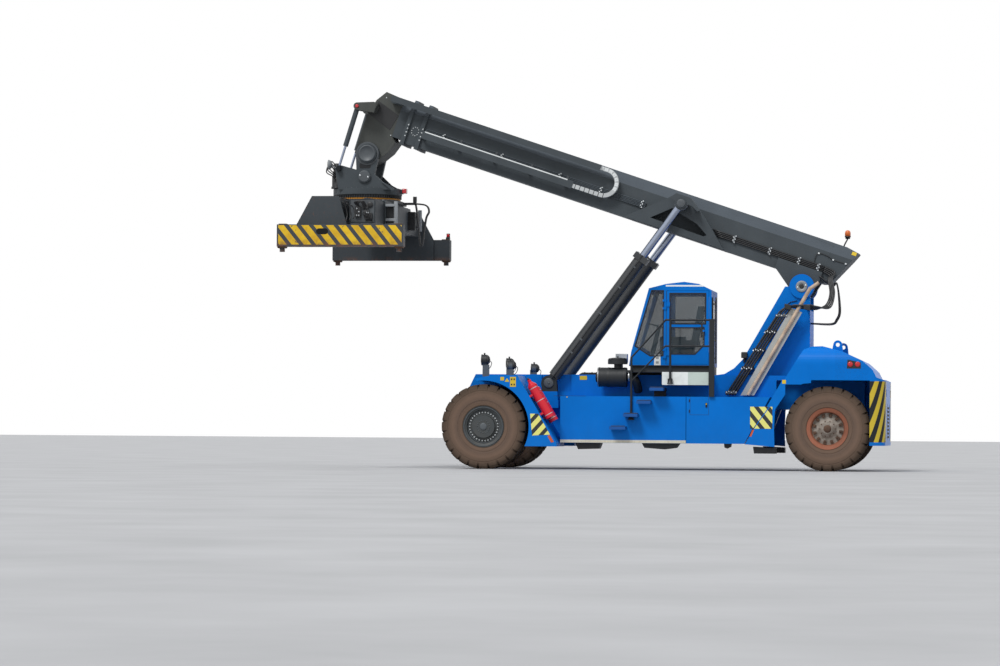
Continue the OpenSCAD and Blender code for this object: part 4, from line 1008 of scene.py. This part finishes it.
# The bulkhead between the narrow rear frame and the counterweight
k.box(-7199.5, -7135.5, -396, 396, 1182, 1732)
k.make("rear_bulkhead", "blue")

# The hood's rounded form: the counterweight's own mesh, shaded softly over its small turns
SOFT_TURN = math.radians(42)
weight = nodes["counterweight"]
me = weight.data.copy()
me.polygons.foreach_set("use_smooth", [True] * len(me.polygons))
me.set_sharp_from_angle(angle=SOFT_TURN)
ob = add_object("soft_counterweight", me)
ob.matrix_world = weight.matrix_world.copy()
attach(ob, "chassis")
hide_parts("counterweight")

# Lamp at the rear end of the far end beam
k.box(1436, 1516, -2968, -2880, 4630.3, 4690)
k.box(1440, 1512, -2964, -2944, 4690, 4770)
k.make("beam_lamp_post", "dark", "beam_right", 4)
k.turned(W(1476, -2943.5, 4728), LEFT, [(32, 0), (32, 16), (22, 24)], 20)
k.make("beam_lamp", "red", "beam_right")

# Cab: window rubbers, pillar strip, ladder, wiper and door handle
DOOR_UP = rect(-4120, -3455, 2840, 3400)
DOOR_LOW = [(-3450, 2250), (-3450, 2740), (-4095, 2740), (-4095, 2420), (-3930, 2250)]
SIDE_PANE = [(-2780, 2400), (-3095, 3455), (-3300, 3455), (-3300, 2215), (-3065, 2215)]
REAR_PANE = rect(-4180, -3420, 2300, 3400)
RUBBER_Y = (CAB_Y + 0.2, CAB_Y + 5)
FAR_RUBBER_Y = (-CAB_Y - 5, -CAB_Y - 0.2)
k.window_rubber(DOOR_UP, 26, *RUBBER_Y)
k.window_rubber(DOOR_LOW, 22, *RUBBER_Y)
k.prism([(-3366, 2050), (-3376, 2050), (-3376, 3464), (-3366, 3464)], CAB_Y + 0.1, CAB_Y + 3)
k.make("door_rubbers", "rubber", "door", 1)
k.window_rubber(SIDE_PANE, 24, *RUBBER_Y)
k.box(-4246, -2652, CAB_Y + 0.2, CAB_Y + 6, 2006, 2022)
k.window_rubber(SIDE_PANE, 24, *FAR_RUBBER_Y)
k.window_rubber(REAR_PANE, 24, *FAR_RUBBER_Y)
k.make("cab_rubbers", "rubber", bevel=1)
for x in (-4262, -4330):
    k.box(x - 14, x + 14, 560, 640, 2060, 3340)
for z in (2150, 2500, 2850, 3200):
    k.box(-4330, -4250, 575, 625, z, z + 26)
k.make("cab_rear_ladder", "dark", bevel=4)
k.tube([(-2712, 300, 2330), (-2700, 200, 2420), (-2840, 60, 2900)], 7, 8, 4)
k.box(-2690, -2660, 240, 330, 2285, 2325)
k.make("wiper", "dark")
k.box(-4085, -4050, 742, 762, 2560, 2830)
k.make("door_handle", "dark", "door", 6)

# Fender lamps
LAMP_Y = 1750
FENDER_LAMPS = ((40, 2090, 100), (-465, 1990, 90))
for s, tag, _ in SIDES:
    at = mirrored(s)
    for x, z, r in FENDER_LAMPS:
        rim = r - 4
        k.turned(at(x + 40.5, LAMP_Y, z), FORE, [(rim, 0), (rim, 5), (rim * 0.8, 11), (rim * 0.4, 15)], 28)
    k.make("fender_lenses_" + tag, "lens")
    for x, z, r in FENDER_LAMPS:
        bowl = [(r * 0.97, 0), (r * 0.86, 26), (r * 0.55, 52), (r * 0.2, 60)]
        k.turned(at(x - 60, LAMP_Y, z), -FORE, bowl, 28)
        k.band(at(x + 26, LAMP_Y, z), FORE, r, r + 7, 18)
        k.box(x - 26, x + 2, s * LAMP_Y - 20, s * LAMP_Y + 20, z + r, z + r + 34)
        k.tube([(x - 110, LAMP_Y, z - 10), (x - 150, 1755, z - 60), (x - 120, 1770, z - 150),
                (x - 60, 1790, z - 190)], 7, at=at)
    k.make("fender_lamp_bowls_" + tag, "dark")

# Extinguishers on the left fender's rear slope: places along it upwards, and out from it to the rear
REAR_SLOPE = math.atan2(1795 - 510, -650 + 1415)
SLOPE_AXIS = Vector((math.cos(REAR_SLOPE), 0, math.sin(REAR_SLOPE)))
E = along(-650 - 400 * SLOPE_AXIS.x, 1795 - 400 * SLOPE_AXIS.z, REAR_SLOPE)
BOTTLES = ((1950, 90), (1730, 10))
for y, d in BOTTLES:
    k.turned(E(d + 128, y, 132), SLOPE_AXIS, [(26, 0), (26, 26), (14, 34), (14, 46)])
k.make("extinguisher_fittings", "dark")
for y, d in BOTTLES:
    for z in (-640, -330, -60):
        k.band(E(d + z, y, 132), SLOPE_AXIS, 92.2, 94, 12, 36)
k.make("extinguisher_bands", "bolt")

# Plates that close the gap between the girders' ends and the hood
k.both([(-5519.5, 1740), (-5519.5, 1829), (-5700, 1829), (-5716, 1737)], 820, 850)
k.make("rear_gap_plates", "blue")

# Air cleaner and the white box on the deck
AIR_Y, AIR_Z, AIR_R = 1150, 1780, 185.3
k.box(-2583, -2354, 220, 400, 2072, 2246)
k.make("deck_white_box", "white", bevel=10)
k.box(-2490, -2450, 290, 330, 1830.5, 2072)
for x in (-2630, -2320, -2140):
    k.band(W(x, AIR_Y, AIR_Z), FORE, AIR_R, 190, 22, 40)
k.turned(W(-2480, AIR_Y, 2120.3), UP, [(186, 0), (170, 22), (90, 34), (22, 38)], 36)
k.turned(W(-2480, AIR_Y, 2158), UP, [(16, 0), (16, 24), (8, 26)], 12)
k.tube([(-2662, AIR_Y, 1790), (-2760, AIR_Y, 1780), (-2830, 1120, 1700), (-2860, 1060, 1600),
        (-2865, 1000, 1520)], 82, 20, 7)
k.make("air_cleaner_fittings", "dark")
k.band(W(-2690, AIR_Y, 1790), -FORE, 85, 92, 24)
k.band(W(-2110, AIR_Y, AIR_Z), -FORE, AIR_R, 189, 12, 40)
k.make("elbow_clamps", "bolt")
k.tube([(-2099, AIR_Y, AIR_Z), (-2060, AIR_Y, AIR_Z)], 96, 24, 1)
k.make("air_cleaner_cap", "rubber", bevel=8)

# Side lamps in the hood
for s, tag, out in SIDES:
    # A flat dark sheet of painted shade stands for the recess round the lamps
    k.prism([(-6904, 1957), (-7176, 1957), (-7170, 2076), (-6920, 2128)], s * 1642, s * 1651.5)
    k.make("hood_recess_shade_" + tag, "dark", bevel=2)
    for x in (-7110, -6972):
        k.turned(W(x, s * 1650.5, 2040), out, [(50, 0), (50, 10), (38, 16), (12, 19)], 28)
    k.make("hood_lamps_" + tag, "red")

# Step edges and rail feet, rear grille, boxes under the rear
for x, z in ((-2562, 830), (-2810, 1075), (-3060, 1325), (-3305, 1575)):
    for y0, y1 in ((1900, 1946), (1670, 1700)):
        k.box(x - 120, x + 120, y0, y1, z, z + 14)
k.make("step_edges", "dark", bevel=2)
k.turned(W(-2800, 1690, 1058), -UP, [(20, 0), (20, 40), (66, 92), (66, 104)], 20)
k.turned(W(-3545, 1690, 1722), -UP, [(22, 0), (22, 20), (60, 60), (60, 72)], 20)
k.make("rail_feet", "dark")
for i in range(9):
    k.box(-7637, -7634, -500, 500, 640 + 70 * i, 680 + 70 * i)
for y in (-560, 540):
    k.box(-7638.5, -7634, y, y + 20, 600, 1300)
k.make("rear_grille", "rubber")
k.both([(-5120, 460), (-5560, 440), (-5560, 330), (-5140, 330)], 1200, 1500)
k.make("rear_underside_boxes", "dark", bevel=8)


# Floor and light
FLOOR_HALF = 260.0
SUN_AIM = Vector((-0.35, -0.75, -1.0))


def make_floor():
    h = FLOOR_HALF
    me = bpy.data.meshes.new("floor")
    me.from_pydata([(-h, -h, 0), (h, -h, 0), (h, h, 0), (-h, h, 0)], [], [(0, 1, 2, 3)])
    ob = add_object("floor", me)
    s = Surface("floor")
    s.set(Base_Color=s.ramp(s.noise(0.6, 4), (0.3, "#a9a9aa"), (0.7, "#b5b5b6")), Roughness=0.9)
    me.materials.append(s.mat)


def make_light():
    """A soft sky that lights the part, a white one behind it for the camera, and a broad sun."""
    world = bpy.data.worlds.new("studio")
    scene.world = world
    world.use_nodes = True
    nt = world.node_tree
    sky = nt.nodes["Background"]
    feed_all(nt, sky, dict(Color=(0.93, 0.96, 1.0, 1), Strength=0.75))
    white = nt.nodes.new("ShaderNodeBackground")
    feed_all(nt, white, dict(Color=(1, 1, 1, 1), Strength=1.0))
    rays = nt.nodes.new("ShaderNodeLightPath")
    camera, through, glossy = (Field(nt, rays.outputs["Is %s Ray" % kind])
                               for kind in ("Camera", "Transmission", "Glossy"))
    both = nt.nodes.new("ShaderNodeMixShader")
    seen = camera.math("MAXIMUM", through).math("MAXIMUM", glossy)
    for socket, value in zip(both.inputs, (seen, Field(nt, sky.outputs[0]), Field(nt, white.outputs[0]))):
        feed(nt, socket, value)
    nt.links.new(both.outputs[0], nt.nodes["World Output"].inputs["Surface"])
    sun = bpy.data.lights.new("key", "SUN")
    sun.energy = 1.9
    sun.angle = math.radians(18)
    add_object("key", sun).rotation_euler = SUN_AIM.to_track_quat("-Z", "Y").to_euler()


make_floor()
make_light()
